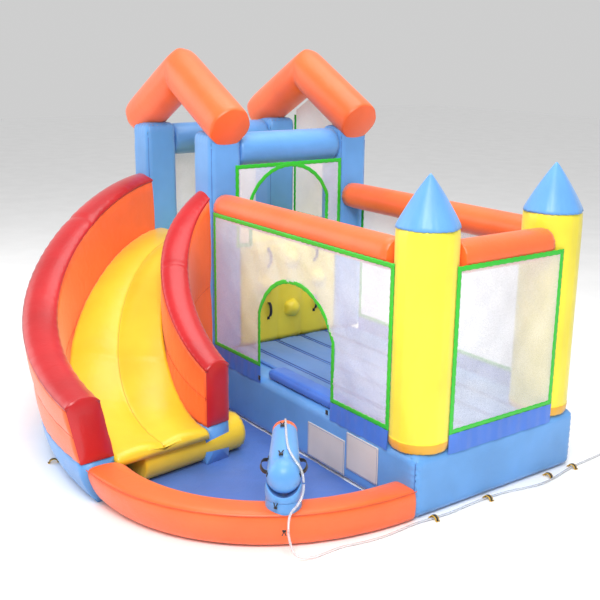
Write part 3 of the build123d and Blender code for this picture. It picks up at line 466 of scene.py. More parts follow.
# ---- corner columns, cones and rails -------------------------------------------------------------
cones = bmesh.new()
for name, y in (("front", 0.156), ("back", 1.233)):
    centre = at(-0.156, y)
    bm = bmesh.new()
    sections = []
    levels = [0.400, 0.404, 0.415, 0.44, 0.462, 0.466, 0.474]
    levels += [0.50 + 1.2 * k / 24 for k in range(25)] + [1.72, 1.735, 1.74]
    for z in levels:
        ring = []
        for j in range(64):
            angle = 2 * math.pi * j / 64
            away = min(z - 0.40, 1.74 - z)
            r = 0.1875 - 0.012 * math.exp(-away / 0.02) + pucker(away, angle * 30, 0.05, 0.0045)
            r += 0.003 if z < 0.463 else 0
            r -= 0.004 * math.exp(-((math.sin(angle * 2) / 0.06) ** 2))
            ring.append(centre + Vector((math.cos(angle) * r, math.sin(angle) * r, z)))
        sections.append(ring)
    rings(bm, sections, paint=lambda i, j: 1 if levels[i] < 0.462 else 0)
    make(name + "_column", bm, [YELLOW, GOLD], [name + "_corner_column"])
    sections = []
    for k in range(27):
        share = k / 26
        z = 1.735 + 0.305 * share
        ring = []
        for j in range(64):
            angle = 2 * math.pi * j / 64
            r = 0.186 * (1 - share ** 1.12) ** 0.93 + 0.004
            r += pucker(share * 0.3, angle * 26, 0.05, 0.007) - 0.004 * math.exp(-share / 0.02)
            r *= 1 + 0.02 * math.cos(angle * 6)
            ring.append(centre + Vector((math.cos(angle) * r, math.sin(angle) * r, z)))
        sections.append(ring)
    rings(cones, sections)
make("blue_cones", cones, [LIGHT_BLUE], ["column_cones"])

POST_SIDE = -2.3125
RAIL_Z, RAIL_R = 1.55, 0.1025
RAIL_LINES = {
    "front": ((POST_SIDE + 0.015, 0.0865), (-0.32, 0.0865)),
    "back": ((POST_SIDE + 0.015, 1.3025), (-0.32, 1.3025)),
    "side": ((-0.0865, 0.312), (-0.0865, 1.077)),
}
for edge_name, (rail_start, rail_end) in RAIL_LINES.items():
    blown_tube(
        edge_name + "_rail_tube", at(*rail_start, RAIL_Z), at(*rail_end, RAIL_Z), RAIL_R,
        [ORANGE], [edge_name + "_rail"],
    )

# ---- tower ---------------------------------------------------------------------------------------
POST_HALF, POST_SEAM = 0.136, 0.121
HEADER_Z, HEADER_R = 1.958, 0.131
MITRE_REACH = 0.30
POSTS = {"left": -3.480, "right": -2.450}
ROWS = {"front": 0.1175, "back": 1.3325}
for side, x in POSTS.items():
    for row, y in ROWS.items():
        bm = bmesh.new()
        post_low, post_high = at(x - POST_HALF, y - POST_HALF, 0.40), at(x + POST_HALF, y + POST_HALF, 2.10)
        blown_box(bm, post_low, post_high, bulge=0.010, corner=0.05, cuts=44)
        for sx in (-1, 1):
            for sy in (-1, 1):
                seam_x, seam_y = x + sx * POST_SEAM, y + sy * POST_SEAM
                piping(bm, straight(at(seam_x, seam_y, 0.45), at(seam_x, seam_y, 1.99)))
        make(f"{row}_{side}_tower_post", bm, [LIGHT_BLUE, SEAM_BLUE], [f"{row}_{side}_post"])
    header_ends = at(x, 0.262, HEADER_Z), at(x, 1.188, HEADER_Z)
    blown_tube(f"{side}_header_tube", *header_ends, HEADER_R, [LIGHT_BLUE], [f"{side}_header"])

for row, y in ROWS.items():
    bm = bmesh.new()
    apex = at(-2.965, y, 2.525)
    for sign in (-1, 1):
        end = apex + Vector((sign * 0.715, 0, -0.385))
        direction = (end - apex).normalized()
        up = Vector((0, 1, 0)).cross(direction) * (-1 if sign > 0 else 1)
        sections = []
        length = (end - apex).length
        spots = [("along", k / 28) for k in range(29)] + [("end", s) for s in (0.97, 0.85, 0.6, 0.3, 0.05)]
        for kind, s in spots:
            ring = []
            for j in range(48):
                angle = 2 * math.pi * j / 48
                if kind == "along":
                    away = min(s, 1 - s) * length
                    r = 0.166 - 0.008 * math.exp(-away / 0.03) + pucker(away, angle * 24, 0.06, 0.007)
                    place = apex.lerp(end, s)
                else:
                    r = 0.158 * s + pucker(0.158 * (1 - s), angle * 24, 0.03, 0.004) * s
                    place = end + direction * 0.022 * (1 - s * s)
                point = place + Vector((0, 1, 0)) * math.cos(angle) * r + up * math.sin(angle) * r
                if kind == "along" and s < 0.5:
                    # the mitre: points near the apex are slid along the tube onto the apex's plane
                    blend_in = max(0.0, 1 - s * length / MITRE_REACH)
                    shift = -(math.sin(angle) * r * up.x * sign) * blend_in / abs(direction.x)
                    point += direction * shift
                ring.append(point)
            sections.append(ring)
        rings(bm, sections, cap=False)
        last = sections[-1]
        rim = [v for v in bm.verts if any((v.co - p).length < 1e-6 for p in last)]
        bmesh.ops.contextual_create(bm, geom=rim)
    make(f"{row}_gable_tubes", bm, [ORANGE], [f"{row}_gable"])

low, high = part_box("tower_platform")
bm = bmesh.new()
blown_box(
    bm, low, high, bulge=0.014, corner=0.045, cuts=40, flat=((2, -1),), channels=((2, 1), 1, 0.33, 0.014),
)
make("platform_pad", bm, [YELLOW], ["tower_platform"])
bm = bmesh.new()
for x0, x1, y0, y1, z1 in (
    (-3.6175, -3.4975, 0.255, 1.195, 1.218),
    (-3.3425, -2.5875, 1.35, 1.47, 0.999),
    (-3.3425, -2.5875, -0.02, 0.10, 0.999),
):
    blown_box(bm, at(x0, y0, 0.401), at(x1, y1, z1), bulge=0.010, corner=0.035, cuts=30)
make("tower_wall_panels", bm, [LIGHT_BLUE], ["tower_panels"])

CLIMB = -2.3275
low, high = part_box("climbing_wall")
bm = bmesh.new()
blown_box(
    bm, low, high, bulge=0.012, corner=0.05, cuts=48, flat=((2, -1), (0, -1)),
    channels=((0, 1), 1, 0.234, 0.018),
)
make("climbing_face", bm, [YELLOW, SEAM_YELLOW], ["climbing_wall"])
bm = bmesh.new()
for across, up in ((0.22, 0.62), (0.50, 0.34), (0.78, 0.62), (0.50, 0.86)):
    centre = at(CLIMB - 0.006, 0.255 + across * 0.94, 0.40 + up * 0.79)
    sections = []
    for k in range(1, 15):
        tilt = math.pi / 2 * k / 14
        ring = []
        for j in range(36):
            angle = 2 * math.pi * j / 36
            r = 0.074 * math.sin(tilt) * (1 + 0.07 * math.cos(angle * 5) * math.sin(tilt) ** 3)
            ring.append(centre + Vector((0.078 * math.cos(tilt), math.cos(angle) * r, math.sin(angle) * r)))
        sections.append(ring)
    rings(bm, sections)
make("climbing_lumps", bm, [YELLOW], ["climbing_holds"])


def strap(bm, points, across, wide=0.025, thick=0.0035, index=0):
    """A webbing band: points along it, and the direction across it."""
    points = [Vector(p) for p in points]
    across = Vector(across).normalized()
    sections = []
    for i, point in enumerate(points):
        along = (points[min(i + 1, len(points) - 1)] - points[max(i - 1, 0)]).normalized()
        normal = along.cross(across).normalized()
        a, n = across * wide / 2, normal * thick / 2
        sections.append([point + a + n, point - a + n, point - a - n, point + a - n])
    rings(bm, sections, paint=lambda i, j: index)


def loop_points(middle, along, out, span, rise, foot=0.024):
    """The line of a bowed handle between two sewn feet."""
    middle, along, out = Vector(middle), Vector(along).normalized(), Vector(out).normalized()
    points = [middle - along * (span / 2 + foot), middle - along * (span / 2 + foot * 0.4)]
    for k in range(17):
        angle = math.pi * k / 16
        points.append(middle - along * math.cos(angle) * span / 2 + out * math.sin(angle) ** 0.8 * rise)
    points += [middle + along * (span / 2 + foot * 0.4), middle + along * (span / 2 + foot)]
    return [p + out * 0.003 for p in points]


bm = bmesh.new()
for across, up in ((0.26, 0.90), (0.74, 0.90), (0.26, 0.36), (0.74, 0.36)):
    place = at(CLIMB + 0.004, 0.255 + across * 0.94, 0.40 + up * 0.79)
    strap(bm, loop_points(place, (0, 0, 1), (1, 0, 0), 0.118, 0.038), (0, 1, 0))
make("wall_handles", bm, [BLACK], ["climbing_handles"])


# ---- slide ---------------------------------------------------------------------------------------
def lean_at(t, most):
    return most * min(max(t, 0) / 0.35, 1)


def slide_wall(name, node, curve, width, top, lean):
    """The orange body: two tiers of faces each side, crowned between a middle seam and the edge seams."""
    bm = bmesh.new()
    count = 90
    sections = []
    seams = {"left": [], "right": []}
    for i in range(count + 1):
        t = -0.02 + 1.02 * i / count
        high, shift = cubic(top, max(t, 0)) - 0.002, lean_at(t, lean)
        ring = []
        for side in (1, -1):
            for k in range(17):
                share = k / 16 if side > 0 else 1 - k / 16
                z = FOOT_H + (high - FOOT_H) * share
                tier = (share * 2) % 1 if share < 1 else 0
                puff = 0.011 * math.sin(math.pi * tier) ** 0.7 - 0.004
                close = min(tier, 1 - tier) * (high - FOOT_H) / 2
                puff += pucker(close, i * 2.1 + side, 0.03, 0.003)
                puff = min(puff, 0.0075)
                ring.append(curve.point(t, side * (width / 2 + puff) + shift * (1 - share), z))
                if k == 8:
                    seams["left" if side > 0 else "right"].append(ring[-1])
        sections.append(ring)
    rings(bm, sections)
    for line in seams.values():
        piping(bm, line, 0.0028)
    return make(name, bm, [ORANGE, SEAM_ORANGE], [node])


slide_wall("outer_wall_body", "slide_outer_wall", OUTER, OUTER_W, OUTER_TOP, LEAN)
slide_wall("inner_wall_body", "slide_inner_wall", INNER, INNER_W, INNER_TOP, 0.0)


def slide_cap(name, node, curve, width, top, lean, crease):
    """The red crown along a wall's top, pinched at a cross seam, and the red face at its pool end."""
    bm = bmesh.new()
    count = 110
    sections = []
    for i in range(count + 1):
        t = -0.02 + 1.03 * i / count
        base = cubic(top, min(max(t, 0), 1))
        pinch = 0.010 * math.exp(-((t - crease) / 0.008) ** 2)
        ring = []
        for k in range(21):
            a = -1 + 2 * k / 20
            rise = 0.008 + 0.046 * (1 - abs(a) ** 2.2) ** 0.8 - pinch
            rise += pucker((1 - abs(a)) * width / 2, i * 1.9 + a, 0.02, 0.0035)
            ring.append(curve.point(t, a * (width / 2 + 0.004), base + rise))
        for k in range(5):
            a = 1 - 2 * k / 4
            ring.append(curve.point(t, a * (width / 2 - 0.002), base - 0.006))
        sections.append(ring)
    rings(bm, sections)
    face = []
    high = top[3] + 0.012
    for k in range(25):
        share = k / 24
        z = FOOT_H + (high - FOOT_H) * share
        row = []
        for j in range(17):
            a = -1 + 2 * j / 16
            crown = 0.042 * share ** 8 * (1 - a * a)
            out = 0.006 + 0.020 * (1 - a ** 4) * (1 - (2 * share - 1) ** 6)
            row.append(curve.point(1, a * width / 2 + lean * (1 - share), z + crown) + curve.heading(1) * out)
        face.append(row)
    back = [[p - curve.heading(1) * 0.012 for p in row] for row in face]
    for grid in (face, back):
        rings(bm, grid, cap=False, closed=False)
    return make(name, bm, [RED, SEAM_RED], [node])


slide_cap("outer_red_cap", "outer_wall_cap", OUTER, OUTER_W, OUTER_TOP, LEAN, 0.33)
slide_cap("inner_red_cap", "inner_wall_cap", INNER, INNER_W, INNER_TOP, 0.0, 0.45)


def slide_foot(name, node, curve, width, lean, taper, seam_at):
    bm = bmesh.new()
    sections = []
    for i in range(81):
        t = -0.02 + 1.02 * i / 80
        shift, cut = lean_at(t, lean), lean_at(t, taper)
        ring = []
        for side in (1, -1):
            for k in range(13):
                share = k / 12 if side > 0 else 1 - k / 12
                puff = 0.009 * math.sin(math.pi * share) - 0.003
                puff += pucker(min(share, 1 - share) * FOOT_H, i * 2.3, 0.03, 0.003)
                puff -= 0.008 * math.exp(-((t - seam_at) / 0.006) ** 2)
                inward = cut * (1 - share) ** 1.6 if side < 0 else 0.0
                left = side * (width / 2 + puff) + shift + inward
                ring.append(curve.point(t, left, max(FOOT_H * share, 0.001)))
        sections.append(ring)
    rings(bm, sections)
    make(name, bm, [LIGHT_BLUE, SEAM_BLUE], [node])


slide_foot("outer_wall_foot", "slide_outer_foot", OUTER, OUTER_W, LEAN, 0.10, 0.93)
slide_foot("inner_wall_foot", "slide_inner_foot", INNER, INNER_W, 0.0, 0.0, 0.6)

bm = bmesh.new()
sections = []
middle_seam = []
for i in range(81):
    t = -0.02 + 1.055 * i / 80
    top, shoulder = cubic(BED_TOP, min(max(t, 0), 1)), cubic(OUTER_TOP, min(max(t, 0), 1))
    top -= 0.9 * max(t - 1, 0)
    slope = lean_at(t, LEAN) / (shoulder - FOOT_H)
    inner = INNER.point(t, -INNER_W / 2 - 0.004)
    outer = OUTER.point(t, OUTER_W / 2 + 0.004 + slope * (shoulder - top))
    ring = []
    for k in range(33):
        a = -1 + 2 * k / 32
        crown = 0.030 * (1 - (2 * abs(a) - 1) ** 2) - 0.016
        crown += 0.010 * abs(a) ** 4
        crown -= 0.012 * math.exp(-((t - 0.62) / 0.012) ** 2)
        crown += pucker(min(abs(a), 1 - abs(a)) * 0.4, i * 1.7, 0.05, 0.003)
        ring.append(inner.lerp(outer, (a + 1) / 2) + Vector((0, 0, top + crown - 0.006)))
        if k == 16:
            middle_seam.append(ring[-1])
    low = max(top - 0.18, 0.21)
    ring += [outer.lerp(inner, k / 4) + Vector((0, 0, low)) for k in range(5)]
    sections.append(ring)
rings(bm, sections)
piping(bm, middle_seam[1:-1], 0.003)
make("yellow_slide_bed", bm, [SLIDE_YELLOW, SEAM_YELLOW], ["slide_bed"])

ROLL_WAY = Vector((-math.sin(math.radians(7)), math.cos(math.radians(7)), 0))
roll_middle = at(-1.455, -0.735, 0.136)
blown_tube(
    "exit_roll", roll_middle - ROLL_WAY * 0.405, roll_middle + ROLL_WAY * 0.405, 0.134,
    [SLIDE_YELLOW], ["slide_end_roll"], gathers=18,
)

# ---- pool ----------------------------------------------------------------------------------------
bm = bmesh.new()
sections, ring_seam = [], []
for i in range(121):
    t = 0.965 * i / 120
    high, lean = 0.205 + 0.06 * t, 0.112 * t
    half = RING_W / 2
    outline = [
        (-half * 0.8 + lean * 0.1, 0.0), (half * 0.2, 0.0), (half - 0.004, 0.0),
        (half + 0.006 + lean * 0.28, high * 0.16), (half + 0.010 + lean * 0.62, high * 0.45),
        (half + 0.007 + lean * 0.9, high * 0.76), (half + lean - 0.002, high * 0.93),
        (half * 0.82 + lean, high * 0.985), (half * 0.5 + lean * 0.95, high * 1.0), (lean * 0.8, high * 1.0),
        (-half * 0.32 + lean * 0.75, high * 0.95), (-half * 0.62 + lean * 0.65, high * 0.82),
        (-half * 0.86 + lean * 0.5, high * 0.6),
        (-half * 0.98 + lean * 0.35, high * 0.34), (-half * 0.95 + lean * 0.2, high * 0.12),
    ]
    ring = []
    for k, (a, z) in enumerate(outline):
        gather = 0.0
        if k in (1, 2, 3, 4):
            gather = pucker(z, i * 1.9, 0.03, 0.009)
        if k in (6, 7):
            gather += pucker(0.0, i * 2.7, 0.03, 0.002)
        ring.append(RING.point(t, a - abs(gather), max(z, 0.0005)))
    sections.append(ring)
    ring_seam.append(RING.point(t, outline[6][0] + 0.001, outline[6][1] + 0.001))
rings(bm, sections)
piping(bm, ring_seam, 0.0035)
ring_piece = make("pool_ring_tube", bm, [ORANGE, SEAM_ORANGE], ["pool_ring"])
bevel = ring_piece.modifiers.new("round", "SUBSURF")
bevel.levels = bevel.render_levels = 1

bm = bmesh.new()
edge = [RING.point(0.97 * k / 40, -0.120) for k in range(41)]
far = []
for k in range(41):
    s = k / 40
    far.append(at(-0.27 - 2.10 * s, -0.022) if s < 0.92 else at(-0.27 - 2.10 * 0.92, -0.022 - (s - 0.92) * 3))
rows = []
for k in range(41):
    s = k / 40
    rows.append([edge[k].lerp(far[k], j / 30) for j in range(31)])
for row in rows:
    for p in row:
        p.z = 0.008 + 0.0022 * math.sin(p.x * 17 + p.y * 9) * math.sin(p.y * 23 - p.x * 5)
rings(bm, rows, cap=False, closed=False)
pool = make("pool_floor_sheet", bm, [POOL_BLUE], ["pool_floor"])

# ---- water cannon --------------------------------------------------------------------------------
bm = bmesh.new()
sections = []
foot = Vector((axis_foot.x, axis_foot.y, 0))
levels = [0.176, 0.182, 0.190, 0.20, 0.215, 0.23, 0.25, 0.265, 0.274, 0.2775]
for z in levels:
    ring = []
    for j in range(64):
        angle = 2 * math.pi * j / 64
        r = 0.104 - 0.003 * math.exp(-(0.278 - z) / 0.01) + pucker(z - 0.176, angle * 22, 0.02, 0.003)
        ring.append(foot + Vector((math.cos(angle) * r, math.sin(angle) * r, z)))
    sections.append(ring)
rings(bm, sections)
make("stand_cushion", bm, [LIGHT_BLUE], ["cannon_stand"])

bm = bmesh.new()
sections = []
for k in range(16):
    share = k / 15
    ring = []
    for j in range(64):
        angle = 2 * math.pi * j / 64
        direction = Vector((math.cos(angle), math.sin(angle), 0))
        facing = direction.dot(level_aim)
        top = 0.366 - 0.052 * abs(facing) ** 1.5 - (0.030 * facing if facing > 0 else 0)
        z = 0.279 + (top - 0.279) * share
        r = 0.1035 + 0.002 * math.sin(math.pi * share) - 0.004 * share ** 6
        ring.append(foot + direction * r + Vector((0, 0, z)))
    sections.append(ring)
NECK_LOW = 0.279


def dished(point, share):
    """A point of the neck's rim, drawn in towards the axis and sunk."""
    sunk = NECK_LOW + (point.z - NECK_LOW) * share * 0.8
    return foot + (point - foot - Vector((0, 0, point.z))) * share + Vector((0, 0, sunk))


rim = sections[15]
for share in (0.8, 0.5, 0.2):
    sections.append([dished(p, share) for p in rim])
rings(bm, sections)
make("neck_cushion", bm, [LIGHT_BLUE], ["cannon_neck"], body="cannon_neck")

bm = bmesh.new()
sections = []
spots = [-math.pi / 2 + math.pi / 2 * k / 16 for k in range(1, 17)]
profile = [(math.sin(a) * BARREL_R, math.cos(a) * BARREL_R) for a in spots]
profile += [(BARREL_L * k / 24, BARREL_R + (BARREL_R2 - BARREL_R) * k / 24) for k in range(1, 25)]
for along, radius in profile:
    ring = []
    for j in range(72):
        angle = 2 * math.pi * j / 72
        near_top = max(math.cos(angle), 0) ** 3
        folds = 0.004 * near_top * math.sin(angle * 34) * math.exp(-abs(along - 0.045) / 0.05)
        pinch = 0.006 * near_top * math.exp(-((along - 0.05) / 0.014) ** 2)
        end = pucker(BARREL_L - along, angle * 18, 0.02, 0.0015)
        r = max(radius + folds - pinch + end, 0.002)
        ring.append(pivot + aim * along + (over * math.cos(angle) - sideways * math.sin(angle)) * r)
    sections.append(ring)
rings(bm, sections)
make("barrel_cushion", bm, [LIGHT_BLUE], ["cannon_barrel"], body="cannon_barrel")

bm = bmesh.new()
sections = []
MUZZLE_OUTLINE = (
    (0.383, 0.0735), (0.392, 0.0745), (0.405, 0.0740), (0.415, 0.0715),
    (0.420, 0.066), (0.418, 0.058), (0.405, 0.054), (0.387, 0.053),
)
for along, radius in MUZZLE_OUTLINE:
    ring = []
    for j in range(60):
        angle = 2 * math.pi * j / 60
        r = radius + 0.0008 * math.sin(angle * 24)
        ring.append(pivot + aim * along + (over * math.cos(angle) - sideways * math.sin(angle)) * r)
    sections.append(ring)
rings(bm, sections, cap=False)
make("muzzle_ring", bm, [ORANGE], ["cannon_muzzle"], body="cannon_barrel")

bm = bmesh.new()
for degrees in (-74, 74):
    spot = barrel_point(0.05, degrees, -0.002)
    out = (spot - pivot - aim * 0.05).normalized()
    strap(bm, loop_points(spot, aim, out, 0.108, 0.040), aim.cross(out))
make("barrel_handles", bm, [BLACK], ["cannon_handles"], body="cannon_barrel")


def tie(bm, middle, along, out, size):
    """A tied strap: a fat knot with two loose tails."""
    across = along.cross(out).normalized()
    knot_side, lift = across * size * 0.8, out * 0.002
    knot = [middle - knot_side + lift, middle + out * size * 0.4, middle + knot_side + lift]
    strap(bm, knot, along, size * 0.9, 0.006)
    for side in (-1, 1):
        tail = [middle + out * 0.003]
        for k in range(1, 7):
            spread = along * size * 0.42 * k + across * side * size * 0.16 * k
            tail.append(middle + spread + out * 0.003 * (2 - abs(k - 3) * 0.5))
        strap(bm, tail, across, size * 0.5, 0.003)


bm = bmesh.new()
for along in (BARREL_L - 0.040, 0.060):
    spot = barrel_point(along, -9, 0.0075)
    tie(bm, spot, aim, (spot - pivot - aim * along).normalized(), 0.015)
make("barrel_knots", bm, [BLACK], ["barrel_ties"], body="cannon_barrel")
bm = bmesh.new()
for degrees, height, out, way in ((-20, 0.262, 0.006, 1), (2, 0.180, 0.104, -1)):
    spot = stand_point(degrees, height, out)
    tie(bm, spot, Vector((0, 0, way)), (spot - foot - Vector((0, 0, height))).normalized(), 0.012)
make("stand_knots", bm, [BLACK], ["stand_ties"])


# ---- nets, bindings and skirts -------------------------------------------------------------------
def arch_z(x, left, right, high):
    """Height of a doorway's arch over a place across it."""
    rise = (right - left) * 0.36
    half = (right - left) / 2
    radius = (half * half + rise * rise) / (2 * rise)
    off = min(abs(x - (left + right) / 2), half)
    return high - radius + math.sqrt(radius * radius - off * off)


def net(name, node, place, u0, u1, z0, z1, door=None, peak=None, count=64):
    """A net panel. place(u, z, out) gives a point; door is (left, right, top); peak is (middle, slope)."""
    bm = bmesh.new()
    rows = {}
    for i in range(count + 1):
        u = u0 + (u1 - u0) * i / count
        top = z1
        if peak:
            top = peak[0] - abs(u - (u0 + u1) / 2) * peak[1]
        for j in range(count + 1):
            z = z0 + (top - z0) * j / count
            a, b = (i / count * 2 - 1), (j / count * 2 - 1)
            pull = math.sin((u - u0) * 21 + (z - z0) * 17) * (1 - abs(a))
            pull += math.sin((u - u0) * 19 - (z - z0) * 15) * (1 - abs(b))
            rows[i, j] = (u, z, 0.0055 * pull * (1 - a ** 6) * (1 - b ** 6))
    verts = {}

    def vert(key):
        if key not in verts:
            verts[key] = bm.verts.new(place(*rows[key]))
        return verts[key]

    for i in range(count):
        for j in range(count):
            u = (rows[i, j][0] + rows[i + 1, j][0]) / 2
            z = (rows[i, j][1] + rows[i, j + 1][1]) / 2
            if door and door[0] < u < door[1] and z < arch_z(u, door[0], door[1], door[2]):
                continue
            bm.faces.new([vert(k) for k in ((i, j), (i + 1, j), (i + 1, j + 1), (i, j + 1))])
    piece = make(name, bm, [NET], [node])
    return piece


def front_place(y):
    return lambda u, z, out: at(u, y - out, z)


def side_place(x):
    return lambda u, z, out: at(x + out, u, z)


NET_LOW, NET_HIGH, BAND = 0.493, 1.524, 0.030
LEFT, RIGHT = -2.286, -0.236
FRONT_Y, BACK_Y, SIDE_X = -0.0188, 1.4078, 0.0188
net(
    "front_mesh", "front_net", front_place(FRONT_Y), LEFT + 0.02, RIGHT - 0.02,
    NET_LOW + 0.02, NET_HIGH - 0.02, door=(-1.665, -0.792, 1.205), count=90,
)
net("side_mesh", "side_net", side_place(SIDE_X), 0.256, 1.133, NET_LOW + 0.02, NET_HIGH - 0.02)
net("back_mesh", "back_net", front_place(BACK_Y), LEFT + 0.02, RIGHT - 0.02, NET_LOW + 0.02, NET_HIGH - 0.02)
net(
    "tower_door_mesh", "tower_door_net", side_place(-2.3095), 0.212, 1.178, 1.245, 1.837,
    door=(0.320, 1.063, 1.838), count=70,
)
net("tower_left_mesh", "tower_left_net", side_place(-3.6188), 0.20, 1.25, 1.222, 1.950)
net(
    "tower_back_mesh", "tower_back_net", front_place(1.4728), -3.335, -2.595, 1.245, 2.35,
    peak=(2.372, 0.539),
)

green = bmesh.new()


def binding(place, line, wide=BAND, thick=0.0030):
    """A ruffled satin band along a line of (u, z) points: raised edges and many small gathers."""
    sections = []
    path = [Vector((u, z)) for u, z in line]
    for i, p in enumerate(path):
        along = path[min(i + 1, len(path) - 1)] - path[max(i - 1, 0)]
        along.normalize()
        normal = Vector((-along.y, along.x))
        front, back = [], []
        for k in range(7):
            a = -1 + 2 * k / 6
            ruffle = 0.0016 * math.sin(i * 2.1 + a * 2) + 0.0010 * math.sin(i * 3.7)
            q = p + normal * a * (wide / 2 + 0.0015 * math.sin(i * 1.3 + (1 if a > 0 else 4)))
            front.append(place(q.x, q.y, thick * (1.0 - 0.35 * abs(a) ** 3) + ruffle * 0.6))
            back.append(place(q.x, q.y, -0.0012))
        sections.append(front + back[::-1])
    rings(green, sections)


def line(*corners, step=0.012):
    points = []
    for a, b in zip(corners, corners[1:]):
        length = math.dist(a, b)
        count = max(int(length / step), 1)
        points += [(a[0] + (b[0] - a[0]) * k / count, a[1] + (b[1] - a[1]) * k / count) for k in range(count)]
    return points + [corners[-1]]


def door_line(left, right, low, high):
    shoulder = high - (right - left) * 0.36
    points = line((left, low), (left, shoulder))
    across = [left + (right - left) * k / 60 for k in range(1, 60)]
    points += [(u, arch_z(u, left, right, high)) for u in across]
    return points + line((right, shoulder), (right, low))


def window(place, u0, u1, z0, z1, gap=None):
    h = BAND / 2
    binding(place, line((u0 + h, z0), (u0 + h, z1)))
    binding(place, line((u1 - h, z0), (u1 - h, z1)))
    binding(place, line((u0, z1 - h), (u1, z1 - h)))
    if gap:
        binding(place, line((u0, z0 + h), (gap[0], z0 + h)))
        binding(place, line((gap[1], z0 + h), (u1, z0 + h)))
    else:
        binding(place, line((u0, z0 + h), (u1, z0 + h)))


window(front_place(FRONT_Y), LEFT, RIGHT, NET_LOW, NET_HIGH, (-1.66, -0.80))
binding(front_place(FRONT_Y - 0.001), door_line(-1.660, -0.797, NET_LOW, 1.203))
window(side_place(SIDE_X), 0.236, 1.153, NET_LOW, NET_HIGH)
window(front_place(BACK_Y), LEFT, RIGHT, NET_LOW, NET_HIGH)
window(side_place(-2.3095), 0.192, 1.198, 1.225, 1.857, (0.325, 1.058))
binding(side_place(-2.3085), door_line(0.325, 1.058, 1.225, 1.833))
rear = front_place(1.4728)
binding(rear, line((-3.347, 1.236), (-2.583, 1.236)))
binding(rear, line((-3.347, 1.221), (-3.347, 2.13)))
binding(rear, line((-2.583, 1.221), (-2.583, 2.13)))
make("green_binding_bands", green, [GREEN], ["net_bindings"])

bm = bmesh.new()


def skirt(place, u0, u1):
    """A loose flap from the net's foot down over the base's top edge."""
    columns = max(int(abs(u1 - u0) / 0.02), 2)
    grid = []
    for i in range(columns + 1):
        u = u0 + (u1 - u0) * i / columns
        row = []
        for j in range(9):
            z = 0.368 + (0.494 - 0.368) * j / 8
            wave = 0.0035 * math.sin(u * 31) * math.sin(u * 11 + 1) * (1 - j / 8) + 0.002 * math.sin(u * 70)
            row.append(place(u, z, 0.0045 + wave - 0.002 * j / 8))
        grid.append(row)
    rings(bm, grid, cap=False, closed=False)
    inward = place(0, 0, -0.003) - place(0, 0, 0)
    rings(bm, [[p + inward for p in row] for row in grid], cap=False, closed=False)


skirt(front_place(-0.0205), LEFT, -1.645)
skirt(front_place(-0.0205), -0.812, RIGHT)
skirt(lambda u, z, out: at(u, 1.4095 + out, z), LEFT, RIGHT)
skirt(side_place(0.0205), 0.236, 1.153)
make("blue_skirts", bm, [ROYAL], ["base_skirts"])

# ---- patches, webbing, inlet sleeve and zip ------------------------------------------------------
bm = bmesh.new()
for index, (x, z, wide, tall) in enumerate(((-0.845, 0.160, 0.400, 0.240), (-0.470, 0.225, 0.310, 0.250))):
    patch_low, patch_high = at(x - wide / 2, -0.0285, z - tall / 2), at(x + wide / 2, -0.0235, z + tall / 2)
    blown_box(bm, patch_low, patch_high, bulge=0.0008, corner=0.0008, cuts=14, index=index, gather=0.0)
    h, v = wide / 2 - 0.007, tall / 2 - 0.007
    corners = ((-1, -1), (1, -1), (1, 1), (-1, 1), (-1, -1))
    frame_line = [at(x + a * h, -0.0295, z + b * v) for a, b in corners]
    for a, b in zip(frame_line, frame_line[1:]):
        piping(bm, straight(a, b), 0.0009, 2)
make("bare_patches", bm, [PALE, PALE, SEAM_BLUE], ["base_patches"])

bm = bmesh.new()
LOOP_SPAN, LOOP_RISE = 0.052, 0.0225
for y in (0.105, 0.565, 1.130, 1.375):
    for lift, tail, wide, index in ((-0.0008, 0.012, 0.030, 1), (0.0012, 0.010, 0.014, 0)):
        bow = loop_points(at(0.066, y, lift), (1, 0, 0), (0, 0, 1), LOOP_SPAN, LOOP_RISE, tail)
        strap(bm, bow, (0, 1, 0), wide, 0.003, index)
anchor_way = OUTER.heading(0.80)
anchor_out = Vector((anchor_way.y, -anchor_way.x, 0))
anchor = OUTER.point(0.80, -OUTER_W / 2 + LEAN + 0.10 - 0.050)
for size, lift, index in ((0.030, -0.0008, 1), (0.014, 0.0012, 0)):
    bow = loop_points(anchor + Vector((0, 0, lift)), anchor_out, (0, 0, 1), LOOP_SPAN, LOOP_RISE, 0.011)
    strap(bm, bow, anchor_way, size, 0.003, index)
for x in (-1.657, -0.850):
    tab_x, tab_y = x + 0.0125, -0.0285
    strap(bm, straight(at(tab_x, tab_y, 0.397), at(tab_x, tab_y, 0.428), 6), (1, 0, 0), 0.025, 0.003, 0)
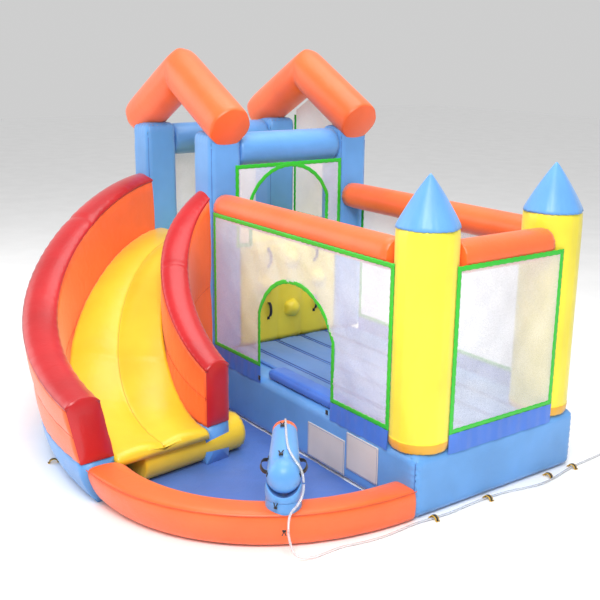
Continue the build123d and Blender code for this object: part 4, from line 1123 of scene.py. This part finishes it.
make("anchor_webbing", bm, [BLACK, WEB_YELLOW], ["anchor_loops"])

low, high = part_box("air_inlet_sleeve")
bm = bmesh.new()
sections = []
middle = Vector(((low[0] + high[0]) / 2, 0, (low[2] + high[2]) / 2))
outside = [(low[1] + (high[1] - low[1]) * k / 20, 0.089) for k in range(21)]
inside = [(y, 0.0855) for y, r in outside[::-1][:20]]
for n, (y, r) in enumerate(outside + inside):
    ring = []
    for j in range(48):
        angle = 2 * math.pi * j / 48
        slack = 0.0022 * math.sin(angle * 7 + y * 30) + 0.0015 * math.sin(angle * 13 - y * 55)
        across = r - 0.003 + slack
        ring.append(Vector((middle.x + math.cos(angle) * across, y, middle.z + math.sin(angle) * across)))
    sections.append(ring)
rings(bm, sections, cap=False)
make("inlet_sleeve_cloth", bm, [LIGHT_BLUE], ["air_inlet_sleeve"])

low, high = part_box("zip_tape")
bm = bmesh.new()
middle_z = (low[2] + high[2]) / 2
tape_y, teeth_y = high[1] - 0.0012, high[1] - 0.0004
strap(bm, straight((low[0], tape_y, middle_z), (high[0], tape_y, middle_z), 30), (0, 0, 1), 0.029, 0.0016)
for k in range(96):
    x = low[0] + 0.006 + (high[0] - low[0] - 0.012) * k / 95
    offset = 0.0016 if k % 2 else -0.0016
    tooth = [(x, teeth_y, middle_z + offset - 0.0025), (x, teeth_y, middle_z + offset + 0.0025)]
    strap(bm, tooth, (1, 0, 0), 0.0016, 0.0012)
make("zip_teeth", bm, [BLACK], ["zip_tape"])

for node, mat in (("zip_slider", PLASTIC), ("hose_connector", PLASTIC), ("tap_nut", BRASS)):
    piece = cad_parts[node]
    if not piece.data.materials:
        piece.data.materials.append(mat)
    for slot in piece.material_slots:
        slot.material = mat

bm = bmesh.new()
bmesh.ops.create_grid(bm, x_segments=8, y_segments=8, size=30)
mesh = bpy.data.meshes.new("studio_floor")
bm.to_mesh(mesh)
bm.free()
mesh.materials.append(FLOOR)
floor = bpy.data.objects.new("studio_floor", mesh)
for vertex in mesh.vertices:
    vertex.co.z = -0.001
scene.collection.objects.link(floor)
